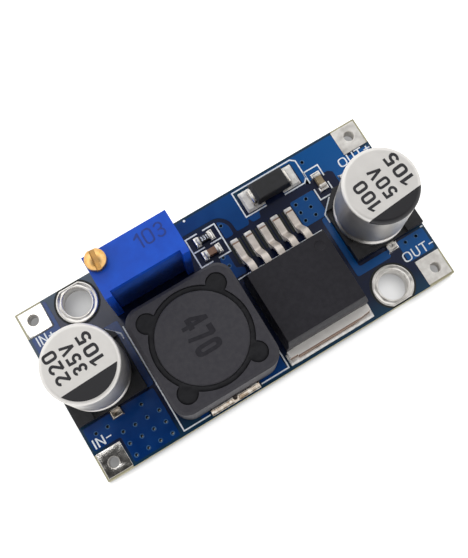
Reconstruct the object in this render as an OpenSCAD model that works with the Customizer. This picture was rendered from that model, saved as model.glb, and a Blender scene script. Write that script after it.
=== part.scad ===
// Step-up converter module: a small circuit board that raises a supply voltage.
// Lengths are in millimetres. The origin is under the middle of the board, at the tips of the
// trimmer's pins. +X runs from the input end to the output end, +Y to the plus side, +Z up.

/* [Board] */
// Thickness of the circuit board
board_t = 1.6; // [1:0.1:2.4]
// Bare margin between the copper and the board's edge
copper_margin = 0.2; // [0.1:0.05:0.4]
// Thickness of the tinned copper on the board's faces
copper_t = 0.08; // [0.05:0.01:0.12]
// Thickness of the plating in the holes
plating_t = 0.05; // [0.03:0.01:0.1]
// Diameter of a mounting hole
mount_hole_d = 3.2; // [2.6:0.1:3.4]
// Width of the plated ring round a mounting hole
mount_ring_w = 0.7; // [0.4:0.05:0.9]
// Distance of a mounting hole from the board's end
mount_inset_x = 6.5; // [6:0.1:6.8]
// Distance of a mounting hole from the board's long side
mount_inset_y = 2.2; // [1.9:0.1:2.6]
// Side of a square terminal pad
terminal_pad = 2.9; // [2.4:0.1:3.2]
// Diameter of the hole in a terminal pad
terminal_hole_d = 1.2; // [0.8:0.1:1.6]
// Distance of a terminal hole from both board edges
terminal_inset = 1.5; // [1.3:0.1:1.8]
// Diameter of a via
via_d = 0.35; // [0.2:0.05:0.5]

/* [Layout] */
// Gap between a capacitor's base and the board's end
cap_end_gap = 0.15; // [0:0.05:1]
// Gap between the input capacitor's base and the inductor
cap_inductor_gap = 1.25; // [0.8:0.05:3]
// Gap between the inductor and the regulator's body
inductor_regulator_gap = 1; // [0.8:0.05:3]
// Gap between the regulator's body and the output capacitor's base
regulator_cap_gap = 1.75; // [1:0.05:3]
// Gap between the board's front edge and the inductor
inductor_front_gap = 0.87; // [0.8:0.01:2]
// Gap between the inductor and the trimmer
inductor_trimmer_gap = 1.63; // [1:0.01:3]
// Gap between the trimmer and the board's rear edge
trimmer_back_gap = 0.97; // [0:0.01:2]
// How far the trimmer starts to the left of the inductor
trimmer_shift = 0.2; // [0:0.05:0.4]
// How far the capacitors stand behind the board's middle line
cap_y = 0.25; // [-0.5:0.05:0.8]
// Gap between the board's front edge and the regulator's tab
regulator_front_gap = 0.8; // [0.6:0.01:1.5]
// How far the diode stands to the right of the regulator's middle
diode_shift = 2.95; // [2:0.05:3.2]
// Gap between the diode's body and the board's rear edge
diode_back_gap = 0.85; // [0.5:0.05:1.2]
// Gap between the trimmer and the two chip parts beside it
trimmer_chip_gap = 1.92; // [1:0.01:2.2]
// Gap between the resistor and the board's rear edge
resistor_back_gap = 2.85; // [2.4:0.05:3]
// Distance between the middles of the two chip parts
chip_pitch = 1.75; // [1.6:0.05:1.9]
// Gap between the output capacitor's base and the chip capacitor behind it
output_chip_gap = 0.7; // [0.6:0.05:1.2]
// How far that chip capacitor stands to the left of the capacitor's middle
output_chip_shift = 2.8; // [2:0.05:3]

/* [Solder] */
// Height at which the parts stand on their soldered pads
film_t = 0.1; // [0.05:0.01:0.2]
// How far a pad reaches past a lead at its sides
pad_side = 0.25; // [0.1:0.01:0.35]
// How far a pad reaches past the tip of a lead
pad_toe = 0.45; // [0.2:0.05:0.6]
// How far a pad reaches past a regulator lead at its sides
lead_pad_side = 0.05; // [0.03:0.01:0.2]
// Height of the solder beside a lead
fillet_h = 0.4; // [0.2:0.05:0.45]
// Height of the solder below the board at a trimmer pin
cone_h = 0.75; // [0.4:0.05:0.9]

/* [Electrolytic capacitors] */
// Diameter of a can
can_d = 8; // [6.3:0.1:9]
// Height of a capacitor above the board
cap_h = 10.2; // [6:0.1:12]
// How far the base reaches past the can
cap_base_margin = 0.15; // [0.1:0.05:0.4]
// Height of the base's corner posts
cap_base_h = 1.1; // [0.9:0.05:1.6]
// Thickness of the base's floor
cap_floor_t = 0.55; // [0.45:0.05:0.8]
// Cut of the two corners on the plus side
cap_chamfer = 1.5; // [0.8:0.1:2]
// Open length of the base's rim on each side
cap_rim_gap = 4.4; // [3:0.1:5]
// Radius of the can's upper edge
can_edge_r = 0.45; // [0.2:0.05:0.8]
// Height of the rolled bead above the can's bottom
bead_z = 1.5; // [1.2:0.1:2.5]
// Depth of the rolled bead
bead_depth = 0.3; // [0.1:0.05:0.4]
// Radius of the rolled bead
bead_r = 0.8; // [0.6:0.05:1]
// Width of a capacitor's lead
cap_lead_w = 0.9; // [0.6:0.05:1.2]
// Thickness of a capacitor's lead
cap_lead_t = 0.25; // [0.15:0.05:0.3]
// How far a lead reaches past the base
cap_lead_reach = 0.6; // [0.3:0.05:1]
// Distance between the two leads where they pass the base
cap_lead_pitch = 3.2; // [2.6:0.1:4]

/* [Inductor] */
// Side of the square shield
inductor_side = 12.1; // [11.6:0.1:13]
// Height of the inductor above the board
inductor_h = 7.5; // [6:0.1:9]
// Radius of the shield's upright corners
shield_corner_r = 1.7; // [0.8:0.1:1.8]
// Bevel of the shield's upper edge
shield_bevel = 0.35; // [0.15:0.05:0.5]
// Diameter of the drum's flanges
drum_d = 9.56; // [8.6:0.02:9.8]
// Thickness of a flange
flange_t = 1.3; // [1:0.1:1.6]
// Diameter of the drum's waist
waist_d = 4.8; // [4:0.1:5.4]
// Gap between the drum and the shield, closed by adhesive
drum_gap = 0.57; // [0.56:0.01:0.62]
// Diameter of the four adhesive pockets
pocket_d = 2.2; // [1.6:0.1:2.4]
// How far the pockets' centres lie outside the shield's bore
pocket_out = 0.35; // [0.2:0.05:0.5]
// Depth of the adhesive pockets
pocket_depth = 1.2; // [0.8:0.1:1.3]
// How far the adhesive stays below the shield's top
adhesive_drop = 0.3; // [0.1:0.05:0.5]
// Diameter of the winding's wire
wire_d = 0.5; // [0.3:0.05:0.5]
// Room between the winding and the shield
winding_room = 0.85; // [0.75:0.05:1.2]
// Thickness of the moulded base
inductor_base_t = 0.8; // [0.7:0.05:1.2]
// Width of a terminal clip
clip_w = 5.4; // [4:0.1:6]
// Thickness of a terminal clip
clip_t = 0.2; // [0.15:0.05:0.3]
// How far a clip's foot reaches past the base
clip_reach = 0.55; // [0.3:0.05:0.7]
// How far a clip's foot reaches under the base
clip_under = 1.6; // [1:0.1:2.5]
// Height of the solder that runs up a terminal clip
clip_fillet_h = 0.95; // [0.6:0.05:1]

/* [Regulator] */
// Width of the moulded body
regulator_w = 10; // [9.6:0.1:10.4]
// Length of the moulded body
regulator_l = 9; // [8.4:0.1:9.4]
// Height of the regulator
regulator_h = 4.5; // [4.2:0.1:4.8]
// Draft of the body's sides, from the parting line to the top
regulator_draft = 0.33; // [0.1:0.01:0.5]
// Length of the bevel over the tab
regulator_bevel_l = 0.48; // [0.3:0.02:0.8]
// Height of the bevel over the tab
regulator_bevel_h = 1.1; // [0.6:0.1:1.6]
// Thickness of the tab
tab_t = 1.3; // [1.1:0.05:1.4]
// How far the tab reaches past the body
tab_reach = 1.07; // [0.6:0.01:1.4]
// Length of the notch at the left end of the tab's front edge
tab_notch_l = 0.95; // [0.5:0.05:1.5]
// Depth of that notch
tab_notch_d = 0.25; // [0.1:0.05:0.4]
// Length of the slanting right end of the tab's front edge
tab_slant_l = 2.2; // [1:0.1:3]
// Depth of that slant
tab_slant_d = 0.3; // [0.1:0.05:0.4]
// How far the tab stays inside the body's sides
tab_inset = 0.8; // [0.5:0.1:1.5]
// Distance between two leads
lead_pitch = 1.7; // [1.6:0.02:1.8]
// Width of a lead
lead_w = 0.8; // [0.6:0.05:0.9]
// Thickness of a lead
lead_t = 0.5; // [0.4:0.05:0.6]
// Height of the leads' middle where they leave the body
lead_z = 2.45; // [2.1:0.05:2.8]
// Length of a lead outside the body
lead_reach = 4.08; // [3.6:0.02:4.6]
// Where a lead bends down, from the body
lead_shoulder = 0.85; // [0.65:0.05:0.95]
// Where a lead's foot starts, from the body
lead_heel = 1.95; // [1.6:0.05:2.2]
// Bend radius of a lead
lead_bend_r = 0.7; // [0.4:0.05:0.75]
// Diameter of the moulding mark on the top
dimple_d = 1.1; // [0.6:0.1:1.6]
// Depth of the moulding mark
dimple_depth = 0.08; // [0.04:0.02:0.2]
// Distance of the moulding mark from the body's right side and back
dimple_inset = 1.6; // [1.2:0.1:2.4]

/* [Diode] */
// Length of the diode's body
diode_l = 4.2; // [3.8:0.1:4.5]
// Width of the diode's body
diode_w = 2.5; // [2.2:0.1:2.8]
// Height of the diode
diode_h = 2.2; // [1.9:0.1:2.5]
// Draft of the body's sides
diode_draft = 0.25; // [0.05:0.01:0.35]
// Width of a diode lead
diode_lead_w = 1.45; // [1.1:0.05:1.7]
// Thickness of a diode lead
diode_lead_t = 0.2; // [0.15:0.05:0.25]
// How far a diode lead stands out of the body
diode_lead_reach = 0.35; // [0.3:0.05:0.5]
// Length of a diode lead's foot
diode_foot = 1.2; // [0.9:0.1:1.5]

/* [Chip parts] */
// Length of a chip part
chip_l = 1.6; // [1.4:0.1:1.8]
// Width of a chip part
chip_w = 0.8; // [0.6:0.05:1]
// Height of a chip capacitor
chip_cap_h = 0.8; // [0.5:0.05:1]
// Height of the chip resistor
resistor_h = 0.5; // [0.45:0.05:0.6]
// Length of a metal end
chip_end = 0.32; // [0.2:0.02:0.4]
// Thickness of the metal on a chip's end
chip_end_t = 0.03; // [0.02:0.01:0.06]

/* [Trimmer] */
// Length of the trimmer's housing
trimmer_l = 9.53; // [9.4:0.01:10.2]
// Depth of the trimmer's housing
trimmer_d = 4.83; // [4.7:0.01:5.6]
// Height of the housing above the board
trimmer_h = 10.03; // [9.8:0.01:11]
// Thickness of the housing's end walls
end_wall_t = 0.8; // [0.7:0.05:0.9]
// Thickness of the housing's top in front of the drive
top_wall_t = 1; // [0.8:0.1:1.6]
// Thickness of the floor under the worm wheel
wheel_floor_t = 0.75; // [0.7:0.05:1]
// How far the front lies back between the end walls
front_recess = 0.55; // [0.3:0.05:0.8]
// Height of the housing's feet
foot_h = 0.4; // [0.2:0.05:0.6]
// Distance of the screw from the housing's end
screw_inset_x = 1.15; // [1.1:0.01:1.25]
// Distance of the screw from the housing's back
screw_inset_y = 1.05; // [1.05:0.01:1.2]
// Diameter of the screw's head
head_d = 2.2; // [1.9:0.05:2.3]
// Height of the screw's head
head_h = 1.42; // [1:0.02:1.8]
// Rise of the dome on the screw's head
head_dome = 0.45; // [0.2:0.05:0.7]
// Width of the screwdriver slot
slot_w = 0.55; // [0.3:0.05:0.7]
// Depth of the screwdriver slot
slot_depth = 0.7; // [0.4:0.05:0.8]
// Turn of the screwdriver slot at rest, in degrees from the housing's depth
slot_turn = -6; // [-90:1:90]
// Diameter of the screw where it runs in the housing
journal_d = 1.5; // [1.46:0.01:1.54]
// Diameter of the screw's neck in the seal
neck_d = 1.2; // [1:0.05:1.3]
// Diameter of the screw's lower pivot
pivot_d = 0.8; // [0.6:0.05:0.84]
// Running clearance of the screw and of the worm wheel, on the radius
run_gap = 0.03; // [0.02:0.01:0.06]
// Outer diameter of the worm
worm_d = 1.44; // [1.4:0.01:1.46]
// Depth of the worm's thread and of the wheel's teeth
tooth_h = 0.27; // [0.22:0.01:0.28]
// Length of the worm
worm_l = 3.6; // [3:0.1:4]
// Number of teeth on the worm wheel
wheel_teeth = 32; // [28:1:36]
// Thickness of the worm wheel
wheel_t = 0.9; // [0.7:0.05:0.9]
// Diameter of the pivot that carries the worm wheel
hub_d = 1.8; // [1.4:0.05:1.9]
// Thickness of the ceramic element
element_t = 0.45; // [0.4:0.05:0.5]
// Room for the wiper between the wheel and the element
wiper_room = 0.45; // [0.4:0.05:0.5]
// Thickness of the wiper spring
wiper_t = 0.1; // [0.06:0.02:0.12]
// Radius of the wiper's path on the element's track
track_r = 2.2; // [2.1:0.05:2.3]
// Height of the seal ring
seal_h = 0.7; // [0.5:0.05:0.8]
// Width of the seal ring's wall
seal_w = 0.24; // [0.18:0.02:0.26]
// Diameter of a trimmer pin
pin_d = 0.5; // [0.4:0.05:0.6]
// Distance between two trimmer pins
pin_pitch = 2.54; // [2.4:0.01:2.7]
// Diameter of the board's holes for the pins
pin_hole_d = 0.9; // [0.8:0.05:1]
// Length of the pins below the board
pin_tail = 1; // [0.95:0.05:2]

/* [Hidden] */
$fn = 64;

// Gap between pieces that seat on round faces, and the overrun of a cut
seat_gap = 0.01;
cut = 0.1;

// The row of parts sets the board's length, the inductor and the trimmer set its width
cap_side = can_d + 2 * cap_base_margin;
board_l = 2 * cap_end_gap + 2 * cap_side + cap_inductor_gap + inductor_side
    + inductor_regulator_gap + regulator_w + regulator_cap_gap;
board_w = inductor_front_gap + inductor_side + inductor_trimmer_gap + trimmer_d
    + trimmer_back_gap;
board_top = pin_tail + board_t;
seat_z = board_top + film_t;

// Places on the board
end_x = board_l / 2;
side_y = board_w / 2;
mount_x = end_x - mount_inset_x;
mount_y = side_y - mount_inset_y;
terminal_x = end_x - terminal_inset;
terminal_y = side_y - terminal_inset;
cap_x = end_x - cap_end_gap - cap_side / 2;
inductor_x0 = -end_x + cap_end_gap + cap_side + cap_inductor_gap;
inductor_x = inductor_x0 + inductor_side / 2;
inductor_y = -side_y + inductor_front_gap + inductor_side / 2;
regulator_x = inductor_x0 + inductor_side + inductor_regulator_gap + regulator_w / 2;
regulator_front = -side_y + regulator_front_gap + tab_reach;
regulator_back = regulator_front + regulator_l;
diode_x = regulator_x + diode_shift;
diode_y = side_y - diode_back_gap - diode_w / 2;
trimmer_x0 = inductor_x0 - trimmer_shift;
trimmer_x1 = trimmer_x0 + trimmer_l;
trimmer_x = trimmer_x0 + trimmer_l / 2;
trimmer_back = side_y - trimmer_back_gap;
trimmer_front = trimmer_back - trimmer_d;
chip_x = trimmer_x1 + trimmer_chip_gap + chip_l / 2;
resistor_y = side_y - resistor_back_gap - chip_w / 2;
chip_cap_y = resistor_y - chip_pitch;
output_chip_x = cap_x - output_chip_shift;
output_chip_y = cap_y + cap_side / 2 + output_chip_gap + chip_l / 2;

// Fields of vias: first via, number of columns and rows, and their spacing
via_fields = [
    [[-end_x + 3.9, -side_y + 0.9], [4, 3], [1.45, 1.4]],
    [[-end_x + 1.35, -side_y + 5], [2, 1], [1.4, 0]],
    [[-end_x + 6.95, -side_y + 5.2], [1, 1], [0, 0]],
    [[end_x - 2.75, -side_y + 5.5], [2, 1], [1.35, 0]],
    [[regulator_x + 4.5, regulator_back + 2.3], [2, 3], [1.3, 1.03]],
    [[diode_x + 4.7, side_y - 1.4], [1, 1], [0, 0]],
    [[chip_x + 2.3, resistor_y + 0.3], [1, 1], [0, 0]]
];

// Heights in the inductor
clip_top = seat_z + clip_t;
shield_z = clip_top + inductor_base_t;
inductor_top = board_top + inductor_h;
drum_r = drum_d / 2;
bore_r = drum_r + drum_gap;
winding_z0 = shield_z + flange_t;
winding_z1 = inductor_top - flange_t;
winding_r = bore_r - winding_room;
wire_rows = floor((winding_z1 - winding_z0) / wire_d);
wire_drop_r = (drum_r + bore_r) / 2;
wire_end_z = clip_top + inductor_base_t / 2;

// Drive of the trimmer: a worm on the screw turns a wheel that lies across the housing's depth
trimmer_top = board_top + trimmer_h;
housing_z0 = board_top + foot_h;
screw_x = trimmer_x0 + screw_inset_x;
screw_y = trimmer_back - screw_inset_y;
drive_a = trimmer_x - screw_x;
mesh_gap = 0.03;
worm_r = worm_d / 2;
worm_pitch_r = worm_r - tooth_h / 2;
wheel_pitch_r = drive_a - worm_pitch_r;
wheel_r = wheel_pitch_r + tooth_h / 2 - mesh_gap;
worm_lead = 2 * PI * wheel_pitch_r / wheel_teeth;
wheel_room = 0.12;
cavity_r = wheel_r + wheel_room;
wheel_z = housing_z0 + wheel_floor_t + cavity_r;
worm_z0 = wheel_z - worm_l / 2;
worm_z1 = wheel_z + worm_l / 2;
end_play = 0.08;
cavity_back = screw_y + wheel_t / 2 + end_play;
element_back = screw_y - wheel_t / 2 - wiper_room;
element_front = element_back - element_t;
element_margin = 0.2;
element_side = 2 * (cavity_r + element_margin);
potting_front = trimmer_front + front_recess;
track_t = 0.03;
pin_y = element_front - pin_d / 2 - seat_gap;
seal_room = 0.08;
seal_z0 = trimmer_top - seal_h - seal_room;
seal_r = neck_d / 2 + run_gap + seal_w;

// Direction and left-hand normal of a heading in degrees
function along(h) = [cos(h), sin(h)];
function left_of(h) = [-sin(h), cos(h)];
function heading(a, b) = atan2(b[1] - a[1], b[0] - a[0]);
function turned(a) = (a + 540) % 360 - 180;
function reversed(list) = [for (i = [len(list) - 1 : -1 : 0]) list[i]];

// One side of a bent strip, s to the left of a route whose corners have the radius r
function strip_side(route, r, s, steps = 5) = concat(
    [route[0] + s * left_of(heading(route[0], route[1]))],
    [for (i = [1 : 1 : len(route) - 2])
        let (h0 = heading(route[i - 1], route[i]),
             bend = turned(heading(route[i], route[i + 1]) - h0),
             way = sign(bend),
             centre = route[i] - r * tan(abs(bend) / 2) * along(h0) + way * r * left_of(h0))
        for (k = [0 : steps]) centre + (s - way * r) * left_of(h0 + bend * k / steps)],
    [route[len(route) - 1] + s * left_of(heading(route[len(route) - 2], route[len(route) - 1]))]
);

// Outline of a bent strip of thickness t
function strip(route, t, r) = concat(strip_side(route, r, t / 2),
    reversed(strip_side(route, r, -t / 2)));

// Points on an arc
function arc(centre, r, a0, a1, steps = 8) =
    [for (i = [0 : steps]) centre + r * along(a0 + (a1 - a0) * i / steps)];

// Outline of a wedge-sided mound that stands on the board
function mound_outline(w, h, run) = [[-w / 2, 0], [w / 2, 0], [w / 2 - run, h], [run - w / 2, h]];

// Outline extruded along X or along Y, with its second axis up
module along_x(w) { rotate([90, 0, 90]) linear_extrude(w, center = true) children(); }
module along_y(w) { rotate([90, 0, 0]) linear_extrude(w, center = true) children(); }

module drill(place, d) {
    translate([place[0], place[1], pin_tail - cut]) cylinder(d = d, h = board_t + 2 * cut);
}

// Block between two corners
module block(lo, hi) { translate(lo) cube(hi - lo); }

// Solder on a pad, from corner to corner in plan, with sloping sides
module mound(lo, hi, h, run) {
    size = hi - lo;
    translate([(lo[0] + hi[0]) / 2, (lo[1] + hi[1]) / 2, board_top]) intersection() {
        along_y(size[1]) polygon(mound_outline(size[0], h, run));
        along_x(size[0]) polygon(mound_outline(size[1], h, run));
    }
}

// Thin solder under a part, from corner to corner in plan
module film(lo, hi) { block([lo[0], lo[1], board_top], [hi[0], hi[1], seat_z]); }

module via_holes() {
    for (field = via_fields, i = [0 : field[1][0] - 1], j = [0 : field[1][1] - 1])
        drill(field[0] + [i * field[2][0], j * field[2][1]], via_d);
}

module board() {
    color("#123f8c") difference() {
        block([-end_x, -side_y, pin_tail], [end_x, side_y, board_top]);
        for (way = [-1, 1])
            drill([way * mount_x, -way * mount_y], mount_hole_d + 2 * plating_t + 2 * seat_gap);
        for (sx = [-1, 1], sy = [-1, 1])
            drill([sx * terminal_x, sy * terminal_y],
                terminal_hole_d + 2 * plating_t + 2 * seat_gap);
        for (i = [1 : 3]) drill([pin_x(i), pin_y], pin_hole_d);
        via_holes();
    }
}

// The board's copper, on both faces and through the hole, trimmed to its margin
module plated_hole(place, d) {
    color("#d8d6d0") intersection() {
        difference() {
            union() {
                for (z = [pin_tail - copper_t, board_top])
                    translate([0, 0, z]) linear_extrude(copper_t) children();
                translate([place[0], place[1], pin_tail - copper_t])
                    cylinder(d = d + 2 * plating_t, h = board_t + 2 * copper_t);
            }
            drill(place, d);
        }
        block([copper_margin - end_x, copper_margin - side_y, 0],
            [end_x - copper_margin, side_y - copper_margin, board_top + copper_t]);
    }
}

module terminal(sx, sy) {
    middle_x = end_x - copper_margin - terminal_pad / 2;
    middle_y = side_y - copper_margin - terminal_pad / 2;
    plated_hole([sx * terminal_x, sy * terminal_y], terminal_hole_d)
        translate([sx * middle_x, sy * middle_y]) square(terminal_pad, center = true);
}

module mounting_ring(way) {
    place = [way * mount_x, -way * mount_y];
    plated_hole(place, mount_hole_d) translate(place) circle(d = mount_hole_d + 2 * mount_ring_w);
}

// Electrolytic capacitor: a can on a moulded base, with a lead on the plus and the minus side
cap_base_z = seat_z + cap_lead_t / 4;
can_z = cap_base_z + cap_floor_t;

function can_outline(r, h) = let (half = acos(1 - bead_depth / bead_r)) concat(
    [[0, 0]],
    arc([r - can_edge_r, can_edge_r], can_edge_r, -90, 0),
    arc([r - bead_depth + bead_r, bead_z], bead_r, 180 + half, 180 - half),
    arc([r - can_edge_r, h - can_edge_r], can_edge_r, 0, 90),
    [[0, h]]
);

module cap_can(x) {
    color("#cfcdc8") translate([x, cap_y, can_z]) rotate_extrude()
        polygon(can_outline(can_d / 2, board_top + cap_h - can_z));
}

module cap_base(x) {
    half = cap_side / 2;
    color("#1d1d1f") difference() {
        translate([x, cap_y, cap_base_z]) linear_extrude(cap_base_h) polygon([
            [-half, -half], [half, -half], [half, half - cap_chamfer], [half - cap_chamfer, half],
            [cap_chamfer - half, half], [-half, half - cap_chamfer]
        ]);
        translate([x, cap_y, can_z]) cylinder(d = can_d + 4 * seat_gap, h = cap_base_h);
        for (size = [[cap_rim_gap, cap_side + cut], [cap_side + cut, cap_rim_gap]])
            translate([x, cap_y, can_z]) linear_extrude(cap_base_h) square(size, center = true);
        for (way = [-1, 1]) cap_lead_shape(x, way, cap_lead_w + 4 * seat_gap);
    }
}

// A lead comes down from the can, through the base, and turns out under its edge
module cap_lead_shape(x, way, w) {
    mid = cap_lead_t / 2;
    translate([x, cap_y, seat_z]) rotate([0, 0, way > 0 ? 0 : 180]) along_x(w)
        polygon(strip([
            [cap_lead_pitch / 2, can_z - seat_z],
            [cap_lead_pitch / 2, mid],
            [cap_side / 2 + cap_lead_reach, mid]
        ], cap_lead_t, mid + seat_gap));
}

module cap_lead(x, way) { color("#c4bfb6") cap_lead_shape(x, way, cap_lead_w); }

module cap_solder(x) {
    half_w = cap_lead_w / 2 + pad_side;
    tip = cap_side / 2 + cap_lead_reach + pad_toe;
    color("#cbc8c2") difference() {
        for (way = [-1, 1]) translate([x, cap_y, 0]) rotate([0, 0, way > 0 ? 0 : 180]) {
            film([-half_w, cap_lead_pitch / 2], [half_w, tip]);
            mound([-half_w, cap_side / 2], [half_w, tip], fillet_h, pad_side / 2);
        }
        for (way = [-1, 1]) cap_lead(x, way);
    }
}

// Inductor: a wound drum glued into a square shield, on a base with two terminal clips
module at_inductor(z) { translate([inductor_x, inductor_y, z]) children(); }

module rounded_square(side, r) {
    square([side - 2 * r, side], center = true);
    square([side, side - 2 * r], center = true);
    for (sx = [-1, 1], sy = [-1, 1])
        translate([sx * (side / 2 - r), sy * (side / 2 - r)]) circle(r = r);
}

module wire_slot(z, h) {
    slot = wire_d + 4 * seat_gap;
    at_inductor(z) linear_extrude(h) for (way = [-1, 1])
        translate([0, way * (wire_drop_r + inductor_side) / 2])
            square([slot, inductor_side - wire_drop_r + slot], center = true);
}

module inductor_base() {
    color("#232325") difference() {
        at_inductor(clip_top) linear_extrude(inductor_base_t)
            rounded_square(inductor_side, shield_corner_r);
        wire_slot(clip_top - cut, inductor_base_t + 2 * cut);
    }
}

module pocket_circles(r) {
    for (a = [45 : 90 : 315]) translate((bore_r + pocket_out) * along(a)) circle(r = r);
}

// Bevelled edge on top of a rounded square: a slope on each side and a cone at each corner
module bevelled_layer(side, r, bevel) {
    half = side / 2;
    slope = [[-half, 0], [half, 0], [half - bevel, bevel], [bevel - half, bevel]];
    along_x(side - 2 * r) polygon(slope);
    along_y(side - 2 * r) polygon(slope);
    for (sx = [-1, 1], sy = [-1, 1])
        translate([sx * (half - r), sy * (half - r), 0]) cylinder(r1 = r, r2 = r - bevel, h = bevel);
}

module inductor_shield() {
    bevel_z = inductor_top - shield_bevel;
    color("#454548") difference() {
        union() {
            at_inductor(shield_z) linear_extrude(bevel_z - shield_z)
                rounded_square(inductor_side, shield_corner_r);
            at_inductor(bevel_z) bevelled_layer(inductor_side, shield_corner_r, shield_bevel);
        }
        at_inductor(shield_z - cut) cylinder(r = bore_r, h = inductor_h);
        at_inductor(inductor_top - pocket_depth) linear_extrude(inductor_h)
            pocket_circles(pocket_d / 2);
    }
}

module inductor_drum() {
    color("#4b4b4e") at_inductor(0) rotate_extrude() polygon([
        [0, shield_z], [drum_r, shield_z], [drum_r, winding_z0], [waist_d / 2, winding_z0],
        [waist_d / 2, winding_z1], [drum_r, winding_z1], [drum_r, inductor_top], [0, inductor_top]
    ]);
}

// The coil's outer layer shows its turns, and both wire ends run down to the clips
module inductor_winding() {
    first_z = winding_z0 + wire_d / 2 + seat_gap;
    last_z = first_z + (wire_rows - 1) * wire_d - 2 * seat_gap;
    row_pitch = (last_z - first_z) / (wire_rows - 1);
    core_r = winding_r - wire_d / 2;
    color("#a8562c") at_inductor(0) {
        rotate_extrude() {
            translate([waist_d / 2 + seat_gap, first_z])
                square([core_r - waist_d / 2 - seat_gap, last_z - first_z]);
            for (i = [0 : wire_rows - 1]) translate([core_r, first_z + i * row_pitch])
                circle(d = wire_d, $fn = 24);
        }
        for (a = [0, 180]) rotate([0, 0, a]) {
            translate([0, -core_r, first_z]) rotate([90, 0, 0])
                cylinder(d = wire_d, h = wire_drop_r - core_r);
            translate([0, -wire_drop_r, first_z]) sphere(d = wire_d);
            translate([0, -wire_drop_r, wire_end_z]) cylinder(d = wire_d, h = first_z - wire_end_z);
            translate([0, -wire_drop_r, wire_end_z]) sphere(d = wire_d);
            translate([0, -wire_drop_r, wire_end_z]) rotate([90, 0, 0])
                cylinder(d = wire_d, h = inductor_side / 2 + clip_t - wire_drop_r);
        }
    }
}

module inductor_adhesive() {
    color("#17171a") at_inductor(inductor_top - pocket_depth)
        linear_extrude(pocket_depth - adhesive_drop) difference() {
            union() {
                circle(r = bore_r - seat_gap);
                pocket_circles(pocket_d / 2 - seat_gap);
            }
            circle(r = drum_r + seat_gap);
        }
}

// A clip has a foot under the base and a forked upright that holds the wire's end
module inductor_clip(way) {
    face = inductor_side / 2;
    slot = wire_d + 4 * seat_gap;
    color("#cdc6ba") at_inductor(seat_z) rotate([0, 0, way > 0 ? 180 : 0]) difference() {
        union() {
            block([-clip_w / 2, -face - clip_reach, 0], [clip_w / 2, clip_under - face, clip_t]);
            block([-clip_w / 2, -face - clip_t, 0], [clip_w / 2, -face, shield_z - seat_z]);
        }
        block([-slot / 2, -face - clip_reach - cut, -cut], [slot / 2, -face, shield_z]);
    }
}

// Solder runs up a clip's upright in a hollow curve, with a bead over the wire's end
module inductor_solder() {
    face = inductor_side / 2;
    half_w = clip_w / 2 + pad_side;
    toe = face + min(clip_reach + pad_toe / 2, inductor_front_gap - copper_margin);
    run = toe - face - clip_t;
    low = film_t + clip_t + seat_gap;
    hollow = [for (i = [0 : 6]) [run * sin(15 * i) - toe,
        low + (clip_fillet_h - low) * (1 - cos(15 * i))]];
    color("#cbc8c2") difference() {
        at_inductor(0) for (a = [0, 180]) rotate([0, 0, a]) {
            film([-half_w, -toe], [half_w, clip_under - face]);
            translate([0, 0, board_top]) along_x(2 * half_w)
                polygon(concat([[-toe, 0]], hollow, [[-face, clip_fillet_h], [-face, 0]]));
            intersection() {
                translate([0, -face - clip_t, wire_end_z]) sphere(d = 2 * wire_d);
                block([-half_w, -toe, board_top], [half_w, -face, shield_z]);
            }
        }
        for (way = [-1, 1]) inductor_clip(way);
        inductor_winding();
    }
}

// Regulator: a moulded body on a thick copper tab, with five leads bent down to the board
function lead_x(i) = regulator_x + (i - 3) * lead_pitch;
function lead_route() = [
    [regulator_back - tab_inset, lead_z], [regulator_back + lead_shoulder, lead_z],
    [regulator_back + lead_heel, lead_t / 2], [regulator_back + lead_reach, lead_t / 2]
];

module lead_shape(i) {
    translate([lead_x(i), 0, seat_z]) along_x(lead_w)
        polygon(strip(lead_route(), lead_t, lead_bend_r));
}

module regulator_lead(i) { color("#c9c5bd") lead_shape(i); }

// The tab runs under the body, and its riser joins it to the centre lead
module tab_shape() {
    tip = regulator_front - tab_reach;
    riser_y = regulator_back - tab_inset;
    half = regulator_w / 2;
    inner = half - tab_inset;
    translate([regulator_x, 0, seat_z]) {
        linear_extrude(tab_t) polygon([
            [half, regulator_front], [-half, regulator_front], [-half, tip + tab_notch_d],
            [tab_notch_l - half, tip + tab_notch_d], [tab_notch_l - half, tip],
            [half - tab_slant_l, tip], [half, tip + tab_slant_d]
        ]);
        block([-inner, regulator_front, 0], [inner, riser_y, tab_t]);
        block([-lead_w / 2, riser_y - lead_t, 0], [lead_w / 2, riser_y, lead_z + lead_t / 2]);
    }
    lead_shape(3);
}

module regulator_tab() { color("#d3cec6") tab_shape(); }

module regulator_body() {
    half = regulator_w / 2;
    draft = regulator_draft;
    low = draft / 2;
    color("#303033") difference() {
        translate([regulator_x, 0, seat_z]) intersection() {
            translate([0, (regulator_front + regulator_back) / 2, 0]) along_y(regulator_l)
                polygon([[low - half, 0], [half - low, 0], [half, lead_z],
                    [half - draft, regulator_h], [draft - half, regulator_h], [-half, lead_z]]);
            along_x(regulator_w) polygon([
                [regulator_front, 0], [regulator_back - low, 0], [regulator_back, lead_z],
                [regulator_back - draft, regulator_h],
                [regulator_front + regulator_bevel_l, regulator_h],
                [regulator_front, regulator_h - regulator_bevel_h]
            ]);
        }
        tab_shape();
        for (i = [1, 2, 4, 5]) lead_shape(i);
        translate([regulator_x + half - dimple_inset, regulator_back - dimple_inset,
            seat_z + regulator_h - dimple_depth]) cylinder(d = dimple_d, h = regulator_h);
    }
}

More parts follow.
